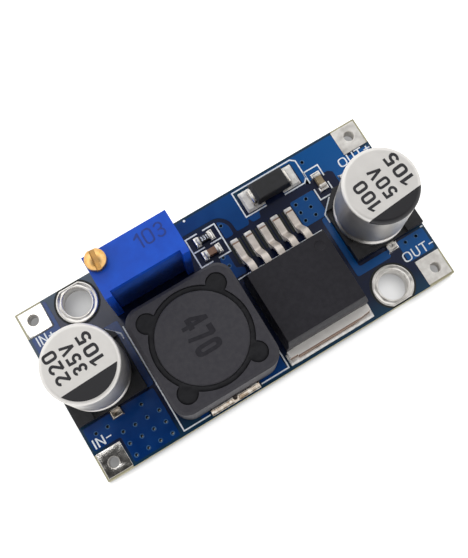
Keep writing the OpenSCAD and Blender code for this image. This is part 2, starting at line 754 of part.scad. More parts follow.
module regulator_solder() {
    tip = regulator_front - tab_reach;
    toe = max(tip - pad_toe, copper_margin - side_y);
    half_w = regulator_w / 2 + pad_side;
    under = regulator_w / 2 - regulator_draft;
    low = regulator_back + lead_heel - lead_t;
    color("#cbc8c2") difference() {
        union() {
            film([regulator_x - under, toe], [regulator_x + under, regulator_back - tab_inset]);
            mound([regulator_x - half_w, toe], [regulator_x + half_w, regulator_front - cut],
                fillet_h, pad_toe / 2);
            for (i = [1 : 5]) {
                side = lead_w / 2 + lead_pad_side;
                high = regulator_back + lead_reach + pad_toe;
                mound([lead_x(i) - side, low], [lead_x(i) + side, high], fillet_h, lead_pad_side / 2);
            }
        }
        tab_shape();
        for (i = [1, 2, 4, 5]) lead_shape(i);
    }
}

// Diode: a moulded body with a lead folded under each end
diode_foot_gap = 0.05;
diode_low = diode_lead_t + diode_foot_gap;
diode_part_z = diode_h / 2;

module diode_lead_shape(way) {
    out = diode_l / 2 + diode_lead_reach - diode_lead_t / 2;
    translate([diode_x, diode_y, seat_z]) rotate([0, 0, way > 0 ? 0 : 180])
        along_y(diode_lead_w) polygon(strip([
            [diode_l / 2 - diode_foot / 2, diode_part_z], [out, diode_part_z],
            [out, diode_lead_t / 2], [out - diode_foot, diode_lead_t / 2]
        ], diode_lead_t, diode_lead_t));
}

module diode_lead(way) { color("#bdb8ae") diode_lead_shape(way); }

function diode_outline(w) = [
    [diode_draft - w / 2, diode_low], [w / 2 - diode_draft, diode_low], [w / 2, diode_part_z],
    [w / 2 - diode_draft, diode_h], [diode_draft - w / 2, diode_h], [-w / 2, diode_part_z]
];

module diode_body() {
    color("#1f1f22") difference() {
        translate([diode_x, diode_y, seat_z]) intersection() {
            along_y(diode_w) polygon(diode_outline(diode_l));
            along_x(diode_l) polygon(diode_outline(diode_w));
        }
        for (way = [-1, 1]) diode_lead_shape(way);
    }
}

module diode_solder() {
    half_w = diode_w / 2;
    out = diode_l / 2 + diode_lead_reach;
    foot = out - diode_foot - diode_lead_t / 2;
    color("#d6d3cd") difference() {
        for (a = [0, 180]) translate([diode_x, diode_y, 0]) rotate([0, 0, a]) {
            film([foot, -half_w], [out + 2 * pad_toe, half_w]);
            mound([diode_l / 2 + cut, -half_w], [out + 2 * pad_toe, half_w], fillet_h, pad_toe / 2);
        }
        for (way = [-1, 1]) diode_lead_shape(way);
    }
}

// Chip parts: a ceramic block with metal round both ends, drawn along X about the origin
module chip_body_shape(h) {
    half = [chip_l / 2 - chip_end_t, chip_w / 2 - chip_end_t];
    block([-half[0], -half[1], seat_z + chip_end_t], [half[0], half[1], seat_z + h - chip_end_t]);
}

module chip_ends_shape(h) {
    difference() {
        for (way = [-1, 1]) translate([way * (chip_l - chip_end) / 2, 0, seat_z + h / 2])
            cube([chip_end, chip_w, h], center = true);
        chip_body_shape(h);
    }
}

module chip_solder_shape(h) {
    half_w = chip_w / 2 + pad_side;
    color("#d3d0ca") difference() {
        for (a = [0, 180]) rotate([0, 0, a])
            mound([chip_l / 2 - chip_end, -half_w], [chip_l / 2 + pad_toe, half_w], fillet_h,
                pad_side / 2);
        block([-chip_l / 2, -chip_w / 2, seat_z], [chip_l / 2, chip_w / 2, seat_z + h]);
    }
}

module at_resistor() { translate([chip_x, resistor_y, 0]) children(); }
module at_chip_cap() { translate([chip_x, chip_cap_y, 0]) children(); }
module at_output_chip() { translate([output_chip_x, output_chip_y, 0]) rotate(90) children(); }

module resistor_body() { color("#1a1a1c") at_resistor() chip_body_shape(resistor_h); }
module resistor_ends() { color("#cfcbc3") at_resistor() chip_ends_shape(resistor_h); }
module chip_cap_body() { color("#8a6852") at_chip_cap() chip_body_shape(chip_cap_h); }
module chip_cap_ends() { color("#cfcbc3") at_chip_cap() chip_ends_shape(chip_cap_h); }
module output_chip_body() { color("#9c8062") at_output_chip() chip_body_shape(chip_cap_h); }
module output_chip_ends() { color("#cfcbc3") at_output_chip() chip_ends_shape(chip_cap_h); }

// Trimmer: a housing that is open at the front, closed by potting, with a worm drive inside
function pin_x(i) = trimmer_x + (i - 2) * pin_pitch;
function in_screw_axis(z) = [screw_x, screw_y, z];

// Frame of the worm wheel: its axis is local Z and points to the front
module at_wheel() { translate([trimmer_x, screw_y, wheel_z]) rotate([90, 0, 0]) children(); }

module trimmer_housing() {
    inner_x0 = trimmer_x0 + end_wall_t;
    inner_x1 = trimmer_x1 - end_wall_t;
    element_half = element_side / 2 + seat_gap;
    color("#2450c0") difference() {
        union() {
            block([trimmer_x0, trimmer_front, housing_z0], [trimmer_x1, trimmer_back, trimmer_top]);
            for (x = [trimmer_x0, inner_x1]) block([x, trimmer_front, board_top],
                [x + end_wall_t, trimmer_back, housing_z0 + cut]);
        }
        block([inner_x0, trimmer_front - cut, housing_z0 - cut],
            [inner_x1, potting_front, trimmer_top + cut]);
        block([inner_x0, potting_front - cut, housing_z0 - cut],
            [inner_x1, element_front, trimmer_top - top_wall_t]);
        block([trimmer_x - element_half, element_front - cut, wheel_z - element_half],
            [trimmer_x + element_half, element_back, wheel_z + element_half]);
        difference() {
            at_wheel() translate([0, 0, screw_y - cavity_back])
                cylinder(r = cavity_r, h = cavity_back - element_back + cut);
            at_wheel() translate([0, 0, screw_y - cavity_back - cut])
                cylinder(d = hub_d, h = end_play + wheel_t);
        }
        translate(in_screw_axis(worm_z0 - end_play))
            cylinder(r = worm_r + 2 * run_gap, h = worm_l + 2 * end_play);
        translate(in_screw_axis(worm_z0 - wheel_floor_t - end_play))
            cylinder(d = pivot_d + 2 * run_gap, h = wheel_floor_t + cut + end_play);
        translate(in_screw_axis(worm_z1)) cylinder(d = journal_d + 2 * run_gap, h = trimmer_h);
        translate(in_screw_axis(seal_z0)) cylinder(r = seal_r + seat_gap, h = trimmer_h);
    }
}

// Cross-section of the single-start worm, its crest in the direction of +X
root_share = 0.52;
flank_share = 0.14;
crest_share = 1 - root_share - 2 * flank_share;
function worm_section() = let (
    crest = [for (k = [-1 : 1]) [worm_r, 360 * crest_share / 2 * k]],
    root0 = crest_share / 2 + flank_share,
    root = [for (k = [0 : 8]) [worm_r - tooth_h, 360 * (root0 + root_share * k / 8)]]
) [for (p = concat(crest, root)) p[0] * along(p[1])];

module trimmer_screw() {
    turns = worm_l / worm_lead;
    head_z = trimmer_top + run_gap;
    head_top = head_z + head_h;
    head_r = head_d / 2;
    dome_r = (head_r * head_r + head_dome * head_dome) / (2 * head_dome);
    dome_half = asin(head_r / dome_r);
    shank_z = worm_z1 - end_play;
    color("#c79a4b") difference() {
        union() {
            translate([screw_x, screw_y, 0]) rotate_extrude() polygon(concat(
                [[0, shank_z], [journal_d / 2, shank_z], [journal_d / 2, seal_z0 - end_play],
                [neck_d / 2, seal_z0 - end_play], [neck_d / 2, head_z], [head_r, head_z]],
                arc([0, head_top - dome_r], dome_r, 90 - dome_half, 90)
            ));
            translate(in_screw_axis(worm_z0)) rotate(-180 * turns)
                linear_extrude(worm_l, twist = -360 * turns, slices = ceil(12 * turns),
                    segments = len(worm_section())) polygon(worm_section());
            translate(in_screw_axis(worm_z0 - wheel_floor_t))
                cylinder(d = pivot_d, h = wheel_floor_t + cut);
        }
        translate(in_screw_axis(head_top - slot_depth / 2 + cut / 2)) rotate(slot_turn)
            cube([slot_w, head_d + cut, slot_depth + cut], center = true);
    }
}

module trimmer_seal() {
    color("#8a3b2c") translate(in_screw_axis(seal_z0)) difference() {
        cylinder(r = seal_r, h = seal_h);
        translate([0, 0, -cut]) cylinder(d = neck_d + 2 * run_gap, h = seal_h + 2 * cut);
    }
}

// Outline of the wheel, with a gap between two teeth in the direction of -X
tip_share = 0.22;
foot_share = 0.46;
function wheel_section() = [for (i = [0 : wheel_teeth - 1], side = [-1, 1])
    for (end = side < 0 ? [0, 1] : [1, 0])
        let (share = end == 0 ? foot_share : tip_share)
        (wheel_r - (end == 0 ? tooth_h : 0))
            * along(180 + (i + 0.5 + side * share / 2) * 360 / wheel_teeth)];

module trimmer_worm_wheel() {
    lead_slope = worm_lead / (2 * PI * worm_pitch_r);
    tooth_twist = lead_slope * wheel_t / wheel_pitch_r * 180 / PI;
    color("#d9d2bd") at_wheel() difference() {
        rotate(-tooth_twist / 2)
            linear_extrude(wheel_t, center = true, twist = -tooth_twist, slices = 4,
                segments = len(wheel_section())) polygon(wheel_section());
        cylinder(d = hub_d + 2 * run_gap, h = wheel_t + cut, center = true);
    }
}

// Two spring arms on a ring that is fixed to the front of the wheel
module trimmer_wiper() {
    ring_r0 = hub_d / 2 + 2 * wiper_t;
    ring_r1 = ring_r0 + 5 * wiper_t;
    arm_w = 0.4;
    reach = 1.2;
    lift = wiper_room - track_t - run_gap - wiper_t;
    color("#c8b06a") at_wheel() translate([0, 0, wheel_t / 2]) {
        difference() {
            cylinder(r = ring_r1, h = wiper_t);
            translate([0, 0, -cut]) cylinder(r = ring_r0, h = wiper_t + 2 * cut);
        }
        for (a = [0, 180]) rotate(a) {
            block([-reach, (ring_r0 + ring_r1) / 2, 0], [-reach / 2, track_r + arm_w / 2, wiper_t]);
            translate([0, track_r, 0]) along_y(arm_w) polygon(strip([
                [-reach, wiper_t / 2], [-reach / 4, wiper_t / 2], [reach / 2, lift], [reach, lift]
            ], wiper_t, 2 * wiper_t));
        }
    }
}

module trimmer_element() {
    track_w = 0.6;
    open_angle = 60;
    track_z = screw_y - element_back;
    color("#e6e2d8") at_wheel() {
        translate([0, 0, track_z + element_t / 2])
            cube([element_side, element_side, element_t], center = true);
        rotate(90 + open_angle / 2) translate([0, 0, track_z - track_t])
            rotate_extrude(angle = 360 - open_angle)
                translate([track_r - track_w / 2, 0]) square([track_w, track_t + cut]);
    }
}

module pin_shape(i, gap) {
    translate([pin_x(i), pin_y, -gap])
        cylinder(r = pin_d / 2 + gap, h = wheel_z - cavity_r / 2 + 2 * gap);
}

module trimmer_pin(i) { color("#cfcbc3") pin_shape(i, 0); }

module trimmer_potting() {
    color("#15296a") difference() {
        block([trimmer_x0 + end_wall_t, potting_front, housing_z0],
            [trimmer_x1 - end_wall_t, element_front, trimmer_top - top_wall_t]);
        for (i = [1 : 3]) pin_shape(i, seat_gap);
    }
}

module trimmer_solder() {
    color("#cbc8c2") difference() {
        for (i = [1 : 3]) translate([pin_x(i), pin_y, 0]) {
            translate([0, 0, pin_tail - cut])
                cylinder(d = pin_hole_d - 2 * seat_gap, h = board_t + cut);
            translate([0, 0, pin_tail - cone_h])
                cylinder(d1 = pin_d + pad_side, d2 = 2 * pin_hole_d, h = cone_h);
        }
        for (i = [1 : 3]) pin_shape(i, seat_gap);
    }
}

board();
terminal(-1, 1);  // in_plus_terminal
terminal(-1, -1);  // in_minus_terminal
terminal(1, 1);  // out_plus_terminal
terminal(1, -1);  // out_minus_terminal
mounting_ring(-1);  // input_mounting_ring
mounting_ring(1);  // output_mounting_ring
cap_can(-cap_x);  // input_cap_can
cap_base(-cap_x);  // input_cap_base
cap_lead(-cap_x, 1);  // input_cap_plus_lead
cap_lead(-cap_x, -1);  // input_cap_minus_lead
cap_can(cap_x);  // output_cap_can
cap_base(cap_x);  // output_cap_base
cap_lead(cap_x, 1);  // output_cap_plus_lead
cap_lead(cap_x, -1);  // output_cap_minus_lead
inductor_base();
inductor_shield();
inductor_drum();
inductor_winding();
inductor_adhesive();
inductor_clip(-1);  // inductor_front_clip
inductor_clip(1);  // inductor_rear_clip
regulator_body();
regulator_tab();
regulator_lead(1);  // regulator_lead_1
regulator_lead(2);  // regulator_lead_2
regulator_lead(4);  // regulator_lead_4
regulator_lead(5);  // regulator_lead_5
diode_body();
diode_lead(-1);  // diode_left_lead
diode_lead(1);  // diode_right_lead
trimmer_housing();
trimmer_screw();
trimmer_seal();
trimmer_worm_wheel();
trimmer_wiper();
trimmer_element();
trimmer_potting();
trimmer_pin(1);  // trimmer_pin_1
trimmer_pin(2);  // trimmer_pin_2
trimmer_pin(3);  // trimmer_pin_3
resistor_body();
resistor_ends();
chip_cap_body();
chip_cap_ends();
output_chip_body();  // output_chip_cap_body
output_chip_ends();  // output_chip_cap_ends
cap_solder(-cap_x);  // input_cap_solder
cap_solder(cap_x);  // output_cap_solder
inductor_solder();
regulator_solder();
diode_solder();
trimmer_solder();
at_resistor() chip_solder_shape(resistor_h);  // resistor_solder
at_chip_cap() chip_solder_shape(chip_cap_h);  // chip_cap_solder
at_output_chip() chip_solder_shape(chip_cap_h);  // output_chip_cap_solder
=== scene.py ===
import math

import bpy
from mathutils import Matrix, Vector


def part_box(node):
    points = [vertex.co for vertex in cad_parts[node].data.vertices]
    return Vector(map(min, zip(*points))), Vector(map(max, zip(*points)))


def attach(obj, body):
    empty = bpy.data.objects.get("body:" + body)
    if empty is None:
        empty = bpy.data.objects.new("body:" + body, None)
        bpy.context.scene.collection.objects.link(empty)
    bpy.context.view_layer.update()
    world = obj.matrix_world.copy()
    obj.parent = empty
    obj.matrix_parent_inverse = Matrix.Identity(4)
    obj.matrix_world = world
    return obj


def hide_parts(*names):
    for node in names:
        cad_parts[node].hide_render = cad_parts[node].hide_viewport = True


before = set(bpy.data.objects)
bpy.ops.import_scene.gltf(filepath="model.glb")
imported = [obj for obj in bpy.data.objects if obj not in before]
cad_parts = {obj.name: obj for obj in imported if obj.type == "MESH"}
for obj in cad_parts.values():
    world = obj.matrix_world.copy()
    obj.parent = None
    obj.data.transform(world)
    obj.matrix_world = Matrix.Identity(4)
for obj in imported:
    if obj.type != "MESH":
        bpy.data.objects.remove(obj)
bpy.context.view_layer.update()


# Circuit board: 1.6 mm of glass cloth in epoxy, sawn from a panel. Every other piece is
# soldered to it or through it, and only its sawn edges and the hole walls stay bare.

MM = 0.001  # pieces are worked in millimetres and brought to metres when they are finished


def linear(colour):
    """An sRGB hex colour as the linear values that a shader takes."""
    parts = [int(colour[i:i + 2], 16) / 255 for i in (1, 3, 5)]
    return [p / 12.92 if p <= 0.04045 else ((p + 0.055) / 1.055) ** 2.4 for p in parts] + [1.0]


def add(tree, kind, inputs=(), **settings):
    """Adds a node with its settings.

    An input takes a value, a socket to link from, or a node that gives its first output.
    """
    made = tree.nodes.new(f"ShaderNode{kind}")
    for name, value in settings.items():
        setattr(made, name, value)
    for key, value in dict(inputs).items():
        if isinstance(value, bpy.types.Node):
            value = value.outputs[0]
        if isinstance(value, bpy.types.NodeSocket):
            tree.links.new(value, made.inputs[key])
        else:
            made.inputs[key].default_value = value
    return made


NOISE_BAND = 0.32, 0.68  # where most values of a noise lie


def worked(name, tones, patch, gloss, grain, relief, fixed=()):
    """Material that drifts between two tones over patches, with a fine grain in relief.

    Patch, grain and relief are in millimetres, and gloss is the roughness of the two tones.
    Grains are drawn some three times coarser than the real ones, so that they show.
    """
    skin = bpy.data.materials.new(name)
    skin.use_nodes = True
    tree = skin.node_tree
    shader = tree.nodes["Principled BSDF"]
    for key, value in dict(fixed).items():
        shader.inputs[key].default_value = value
    place = add(tree, "TexCoord").outputs["Object"]
    drift = add(tree, "TexNoise", {"Vector": place, "Scale": 1 / (patch * MM), "Detail": 3.0})
    share = add(tree, "MapRange",
                {"Value": drift, "From Min": NOISE_BAND[0], "From Max": NOISE_BAND[1]})
    tone = add(tree, "Mix", {0: share, 6: linear(tones[0]), 7: linear(tones[1])}, data_type="RGBA")
    rough = add(tree, "MapRange", {"Value": share, "To Min": gloss[0], "To Max": gloss[1]})
    bumps = add(tree, "TexNoise", {"Vector": place, "Scale": 1 / (grain * MM), "Detail": 2.0})
    lift = add(tree, "Bump", {"Height": bumps, "Distance": relief * MM})
    tree.links.new(tone.outputs[2], shader.inputs["Base Color"])
    tree.links.new(rough.outputs["Result"], shader.inputs["Roughness"])
    tree.links.new(lift.outputs["Normal"], shader.inputs["Normal"])
    return skin


def dress(skin, *nodes):
    """Gives CAD solids that keep their own shape a finished surface."""
    for node in nodes:
        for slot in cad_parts[node].material_slots:
            slot.material = skin


def extent(node):
    """Lowest and highest corner of a CAD solid, in millimetres."""
    return [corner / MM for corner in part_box(node)]


board_low, board_high = extent("board")

# Sawn laminate: pale straw epoxy, with eight layers of glass cloth showing as darker lines.
laminate = worked("sawn_laminate", ("#b2ad8f", "#bcb799"), 0.6, (0.55, 0.7), 0.12, 0.006,
                  {"IOR": 1.55})
tree = laminate.node_tree
shader = tree.nodes["Principled BSDF"]
LAYER_T, THREAD_L = 0.2, 9.0  # one layer of cloth, and how far its lines run along the edge
flat = add(tree, "Mapping",
           {"Vector": add(tree, "TexCoord").outputs["Object"],
            "Scale": (1 / (THREAD_L * MM), 1 / (THREAD_L * MM), 1 / (LAYER_T * MM))})
cloth = add(tree, "TexNoise", {"Vector": flat, "Scale": 1.0, "Detail": 2.0})
lines = add(tree, "MapRange", {"Value": cloth, "From Min": 0.45, "From Max": 0.65, "To Max": 0.5})
layers = add(tree, "Mix",
             {0: lines, 6: shader.inputs["Base Color"].links[0].from_socket,
              7: linear("#837e5f")}, data_type="RGBA")
tree.links.new(layers.outputs[2], shader.inputs["Base Color"])
dress(laminate, "board")


# Solder mask: a blue lacquer printed over both faces and left off round the pads and rings.
# Over bare laminate it looks almost black; copper below it shines through as a deep blue.

PAD_EDGE = 18.42      # inner limits of the bare corner round each terminal
PAD_SIDE = 7.12
MASK_MARGIN = 0.02    # the mask stops short of the sawn edge
MASK_T = 0.025
COPPER_T = 0.035
MASK_SINK = 0.005     # films reach a little into what carries them
RING_CLEAR = 2.52     # radius kept bare round a mounting hole
RING_REACH = 1.75     # the tin lies over what is inside this
PIN_CLEAR = 0.85      # radius kept bare round a trimmer pin, on the underside
DARK_FILM_T = 0.012       # a dark film on bare laminate
GLOW_DEPTH = 3.0      # how far light comes in from the sawn edges
PAINTED_LIGHT_FROM, PAINTED_LIGHT_TO = -6.0, 20.0  # painted light makes the blue paler over this length of the board
TRACE_R, POUR_R = 0.3, 0.4       # corners of the copper above and below
COPPER_EDGE = 0.02    # the mask runs softly over the copper's edge
VIA_HOLE = 0.17
VIA_RIM = 0.26
RIM_RISE, RIM_EDGE = 0.012, 0.01
BARREL_OUT, BARREL_IN = 0.18, 0.135
PLUG_R = 0.19
PLUG_SINK, PLUG_RISE = 0.01, 0.006
MOUNT = (-15.0, 8.0)  # one mounting hole; the other is opposite
TRIMMER_PINS = [(x, 6.57) for x in (-9.775, -7.235, -4.695)]
VIAS = [(x, y) for x in (-17.6, -16.15, -14.7, -13.25) for y in (-9.3, -7.9, -6.5)]
VIAS += [(x, y) for x in (10.8, 12.1) for y in (2.97, 4.0, 5.03)]
VIAS += [(-20.15, -5.2), (-18.75, -5.2), (-14.55, -5.0), (18.75, -4.7), (20.1, -4.7),
         (13.95, 8.8), (2.55, 7.25)]
PLUGGED_VIAS = [(0.95, 4.08), (1.05, 2.95)]  # filled with lacquer


MERGE = 0.0005  # points closer than this are one
CORNER_SHARE = 0.45  # of a side that a turned corner takes at most


def pick(piece):
    """Makes a piece the only one selected."""
    bpy.ops.object.select_all(action="DESELECT")
    piece.select_set(True)
    bpy.context.view_layer.objects.active = piece


def settle(piece):
    """Merges loose edges of a piece and turns its faces outwards."""
    pick(piece)
    bpy.ops.object.mode_set(mode="EDIT")
    bpy.ops.mesh.select_all(action="SELECT")
    bpy.ops.mesh.remove_doubles(threshold=MERGE)
    bpy.ops.mesh.normals_make_consistent(inside=False)
    bpy.ops.object.mode_set(mode="OBJECT")


def turned(corners, radius, steps=4):
    """Closed outline whose corners are turned to a radius."""
    outline = []
    for i, corner in enumerate(corners):
        here = Vector(corner)
        back = Vector(corners[i - 1]) - here
        on = Vector(corners[(i + 1) % len(corners)]) - here
        reach = radius / math.tan(back.angle(on) / 2)
        start = here + back.normalized() * min(reach, CORNER_SHARE * back.length)
        end = here + on.normalized() * min(reach, CORNER_SHARE * on.length)
        for t in [k / steps for k in range(steps + 1)]:
            outline.append(start * (1 - t) ** 2 + here * 2 * t * (1 - t) + end * t ** 2)
    return outline


def arc(centre, radius, start, end, steps):
    """Points on an arc, with its angles in degrees."""
    angles = [math.radians(start + (end - start) * k / steps) for k in range(steps + 1)]
    return [Vector(centre) + radius * Vector((math.cos(a), math.sin(a))) for a in angles]


def circle(centre, radius, steps=16):
    """Closed outline of a round."""
    return arc(centre, radius, 0, 360 - 360 / steps, steps - 1)


def film(name, outlines, low, high, edge=0.0):
    """Flat piece between two heights; an outline inside another is a hole in it."""
    curve = bpy.data.curves.new(name, "CURVE")
    curve.dimensions = "2D"
    curve.fill_mode = "BOTH"
    curve.extrude = (high - low) / 2 - edge
    curve.bevel_depth = edge
    curve.bevel_resolution = 1
    curve.offset = -edge
    for outline in outlines:
        spline = curve.splines.new("POLY")
        spline.points.add(len(outline) - 1)
        spline.use_cyclic_u = True
        for point, place in zip(spline.points, outline):
            point.co = (*place, 0, 1)
    piece = bpy.data.objects.new(name, curve)
    bpy.context.scene.collection.objects.link(piece)
    pick(piece)
    bpy.ops.object.convert(target="MESH")
    piece = bpy.context.object
    piece.location.z = (low + high) / 2
    bpy.ops.object.transform_apply()
    settle(piece)
    return piece


def change(piece, kind, **settings):
    """Adds a modifier to a piece and applies it."""
    pick(piece)
    made = piece.modifiers.new(kind.lower(), kind)
    for name, value in settings.items():
        setattr(made, name, value)
    bpy.ops.object.modifier_apply(modifier=made.name)


MELTED = 60      # degrees: what was once liquid is smooth over every edge below this
FILM_ROUND = 15  # a film is smooth only round its soft edge


def finished(piece, skin, slot, *stands_for, body="module", smooth=35):
    """Brings a piece to metres, gives it its surface and fixes it to the body it moves with."""
    pick(piece)
    piece.scale = (MM, MM, MM)
    bpy.ops.object.transform_apply()
    bpy.ops.object.shade_smooth_by_angle(angle=math.radians(smooth))
    if smooth < MELTED:  # flat faces stay flat beside their rounded edges
        change(piece, "WEIGHTED_NORMAL", keep_sharp=True)
    piece.data.materials.clear()
    piece.data.materials.append(skin)
    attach(piece, body)
    if stands_for:
        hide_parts(*stands_for)
    return piece


def past_edge(tree):
    """Node that says how far a place lies outside the board, in metres; inside is below 0."""
    place = add(tree, "TexCoord").outputs["Object"]
    spread = add(tree, "VectorMath", {0: place}, operation="ABSOLUTE")
    outside = add(tree, "VectorMath", {0: spread, 1: [c * MM for c in board_high]},
                  operation="SUBTRACT")
    gap = add(tree, "SeparateXYZ", {"Vector": outside})
    return add(tree, "Math", {0: gap.outputs["X"], 1: gap.outputs["Y"]}, operation="MAXIMUM")


# Mask on laminate: glossy, near black with a breath of blue, faintly wavy from the screen. Light
# that enters at the sawn edges comes up through it as a dim teal rim.
bare_mask = worked("mask_on_laminate", ("#0e1732", "#141e3c"), 2.5, (0.12, 0.17), 0.6, 0.002,
                   {"IOR": 1.42})
tree = bare_mask.node_tree
shader = tree.nodes["Principled BSDF"]
rim = add(tree, "MapRange",
          {"Value": past_edge(tree), "From Min": -GLOW_DEPTH * MM, "From Max": 0.0,
           "To Max": 0.9}, interpolation_type="SMOOTHSTEP")
lit = add(tree, "Mix",
          {0: rim, 6: shader.inputs["Base Color"].links[0].from_socket,
           7: linear("#173a52")}, data_type="RGBA")
tree.links.new(lit.outputs[2], shader.inputs["Base Color"])
# Mask on copper: the same lacquer with bright metal behind it, so a clear deep blue. It is painted
# paler towards the output end, as painted light falling on that end of the board.
copper_mask = worked("mask_on_copper", ("#002d69", "#033b7b"), 3.0, (0.12, 0.18), 0.5, 0.002,
                     {"IOR": 1.42})
tree = copper_mask.node_tree
shader = tree.nodes["Principled BSDF"]
end = add(tree, "SeparateXYZ", {"Vector": add(tree, "TexCoord").outputs["Object"]})
# Painted light: the blue grows paler towards the output end.
painted_light = add(tree, "MapRange",
              {"Value": end.outputs["X"], "From Min": PAINTED_LIGHT_FROM * MM, "From Max": PAINTED_LIGHT_TO * MM,
               "To Max": 0.9}, interpolation_type="SMOOTHSTEP")
coat = add(tree, "Mix",
           {0: painted_light, 6: shader.inputs["Base Color"].links[0].from_socket,
            7: linear("#005294")}, data_type="RGBA")
tree.links.new(coat.outputs[2], shader.inputs["Base Color"])

end_x = board_high.x - MASK_MARGIN
side_y = board_high.y - MASK_MARGIN
half_notch = math.degrees(math.acos((side_y - MOUNT[1]) / RING_CLEAR))
rear_notch = arc(MOUNT, RING_CLEAR, 90 + half_notch, 450 - half_notch, 40)
front_notch = [-p for p in rear_notch]
# Clockwise from the rear left terminal, with a bare corner at each terminal.
mask_outline = [Vector(p) for p in ((-end_x, PAD_SIDE), (-PAD_EDGE, PAD_SIDE),
                                    (-PAD_EDGE, side_y))]
mask_outline += rear_notch
mask_outline += [Vector(p) for p in ((PAD_EDGE, side_y), (PAD_EDGE, PAD_SIDE), (end_x, PAD_SIDE),
                                     (end_x, -PAD_SIDE), (PAD_EDGE, -PAD_SIDE),
                                     (PAD_EDGE, -side_y))]
mask_outline += front_notch
mask_outline += [Vector(p) for p in ((-PAD_EDGE, -side_y), (-PAD_EDGE, -PAD_SIDE),
                                     (-end_x, -PAD_SIDE))]
via_holes = [circle(via, VIA_HOLE, 12) for via in VIAS]
pin_holes = [circle(pin, PIN_CLEAR, 24) for pin in TRIMMER_PINS]
top = board_high.z
top_mask = film("top_mask", [mask_outline] + via_holes, top - MASK_SINK, top + MASK_T)
finished(top_mask, bare_mask, "masked_laminate")
bottom = board_low.z
bottom_mask = film("bottom_mask", [mask_outline] + via_holes + pin_holes,
                   bottom - MASK_T, bottom + MASK_SINK)
finished(bottom_mask, bare_mask, "masked_laminate")

# Dark bare laminate: left bare round the rings, where it is coloured dark and dull.
dark_bare = worked("bare_dark_laminate", ("#13171a", "#20251f"), 0.6, (0.6, 0.7), 0.2, 0.01,
                 {"IOR": 1.5})
ring_gaps = [rear_notch, circle(MOUNT, RING_REACH, 32),
             front_notch, circle([-c for c in MOUNT], RING_REACH, 32)]
for name, low, high in (("top_ring_gaps", top - MASK_SINK, top + DARK_FILM_T),
                        ("bottom_ring_gaps", bottom - DARK_FILM_T, bottom + MASK_SINK)):
    finished(film(name, ring_gaps, low, high), dark_bare, "masked_laminate")

# Copper on the part side, as far as its edges show through the mask in raised outline.
IN_MINUS_COPPER = [(-21.2, -4.1), (-21.2, -6.8), (-18.1, -6.8), (-18.1, -9.9), (-12.6, -9.9),
                   (-12.6, -4.1)]
IN_PLUS_COPPER = [(-21.2, 6.98), (-18.28, 6.98), (-18.28, 9.95), (-17.9, 9.95), (-17.9, 4.1),
                  (-12.3, 4.1), (-12.3, -3.8), (-21.2, -3.8)]
OUT_PLUS_COPPER = [(-1.9, 9.9), (18.38, 9.9), (18.38, 6.8), (21.2, 6.8), (21.2, 3.2), (16.3, 3.2),
                   (16.3, 6.2), (15.8, 6.55), (10.4, 6.55), (10.4, 7.3), (8.05, 7.3),
                   (8.05, 6.55), (7.0, 6.55), (6.8, 5.8), (5.8, 5.8), (5.55, 6.5),
                   (5.3, 5.8), (3.75, 5.8), *arc((1.9, 6.5), 1.85, 0, 90, 8), (-1.9, 8.35)]
FEEDBACK_COPPER = [(2.25, 5.7), (3.3, 5.7), *arc((1.9, 6.5), 1.4, 0, 75, 6)]
VIA_FIELD_COPPER = [(10.3, 2.3), (10.3, 5.55), (13.3, 5.55), (13.3, 2.3)]
GROUND_TRACE = [(12.3, 2.2), (13.05, 2.2), (13.05, -4.4), (16.6, -4.4), (16.6, -5.3),
                (12.3, -5.3)]
OUT_MINUS_COPPER = [(17.9, -4.2), (21.2, -4.2), (21.2, -6.8), (17.9, -6.8)]
SMALL_COPPER = [(0.95, 1.4), (2.4, 1.4), (2.4, 2.1), (1.6, 2.4), (1.6, 4.2), (0.5, 4.2),
                (0.5, 3.0)]
COIL_FRONT_COPPER = [(-9.9, -9.6), (-8.9, -9.6), (-8.9, -4.0), (-9.9, -4.0)]
COIL_RIGHT_COPPER = [(-2.6, -9.9), (0.6, -9.9), (0.6, 2.0), (-2.6, 2.0)]
areas = [IN_MINUS_COPPER, IN_PLUS_COPPER, OUT_PLUS_COPPER, FEEDBACK_COPPER, VIA_FIELD_COPPER,
         GROUND_TRACE, OUT_MINUS_COPPER, SMALL_COPPER, COIL_FRONT_COPPER, COIL_RIGHT_COPPER]
copper_top = top + COPPER_T + MASK_T
masked_copper = film("top_masked_copper", [turned(area, TRACE_R) for area in areas] + via_holes,
                     top - MASK_SINK, copper_top, edge=COPPER_EDGE)
finished(masked_copper, copper_mask, "masked_laminate", smooth=FILM_ROUND)

# The underside is one ground area, with a lane cleared along the output rail.
GROUND_BELOW = [(-18.1, -9.9), (12.2, -9.9), (12.2, -5.3), (20.9, -5.3), (20.9, 5.3),
                (-20.9, 5.3), (-20.9, -6.8), (-18.1, -6.8)]
RAIL_BELOW = [(-11.8, 9.7), (17.6, 9.7), (17.6, 6.2), (-2.2, 6.2), (-2.2, 8.2), (-11.8, 8.2)]
ground_below = film("bottom_masked_copper",
                    [turned(GROUND_BELOW, POUR_R), turned(RAIL_BELOW, POUR_R)] + via_holes,
                    bottom - COPPER_T - MASK_T, bottom + MASK_SINK, edge=COPPER_EDGE)
finished(ground_below, copper_mask, "masked_laminate", smooth=FILM_ROUND)

# Via plating: the mask draws back from each plated hole, which shows as a thin paler ring.
via_metal = worked("via_plating", ("#1f4a7c", "#4c7aa4"), 0.3, (0.3, 0.4), 0.1, 0.004,
                   {"Metallic": 0.3})
via_rims = film("via_rims", [ring for via in VIAS + PLUGGED_VIAS
                             for ring in (circle(via, VIA_RIM), circle(via, VIA_HOLE))],
                top - MASK_SINK, copper_top + RIM_RISE, edge=RIM_EDGE)
finished(via_rims, via_metal, "tinned_copper", smooth=FILM_ROUND)
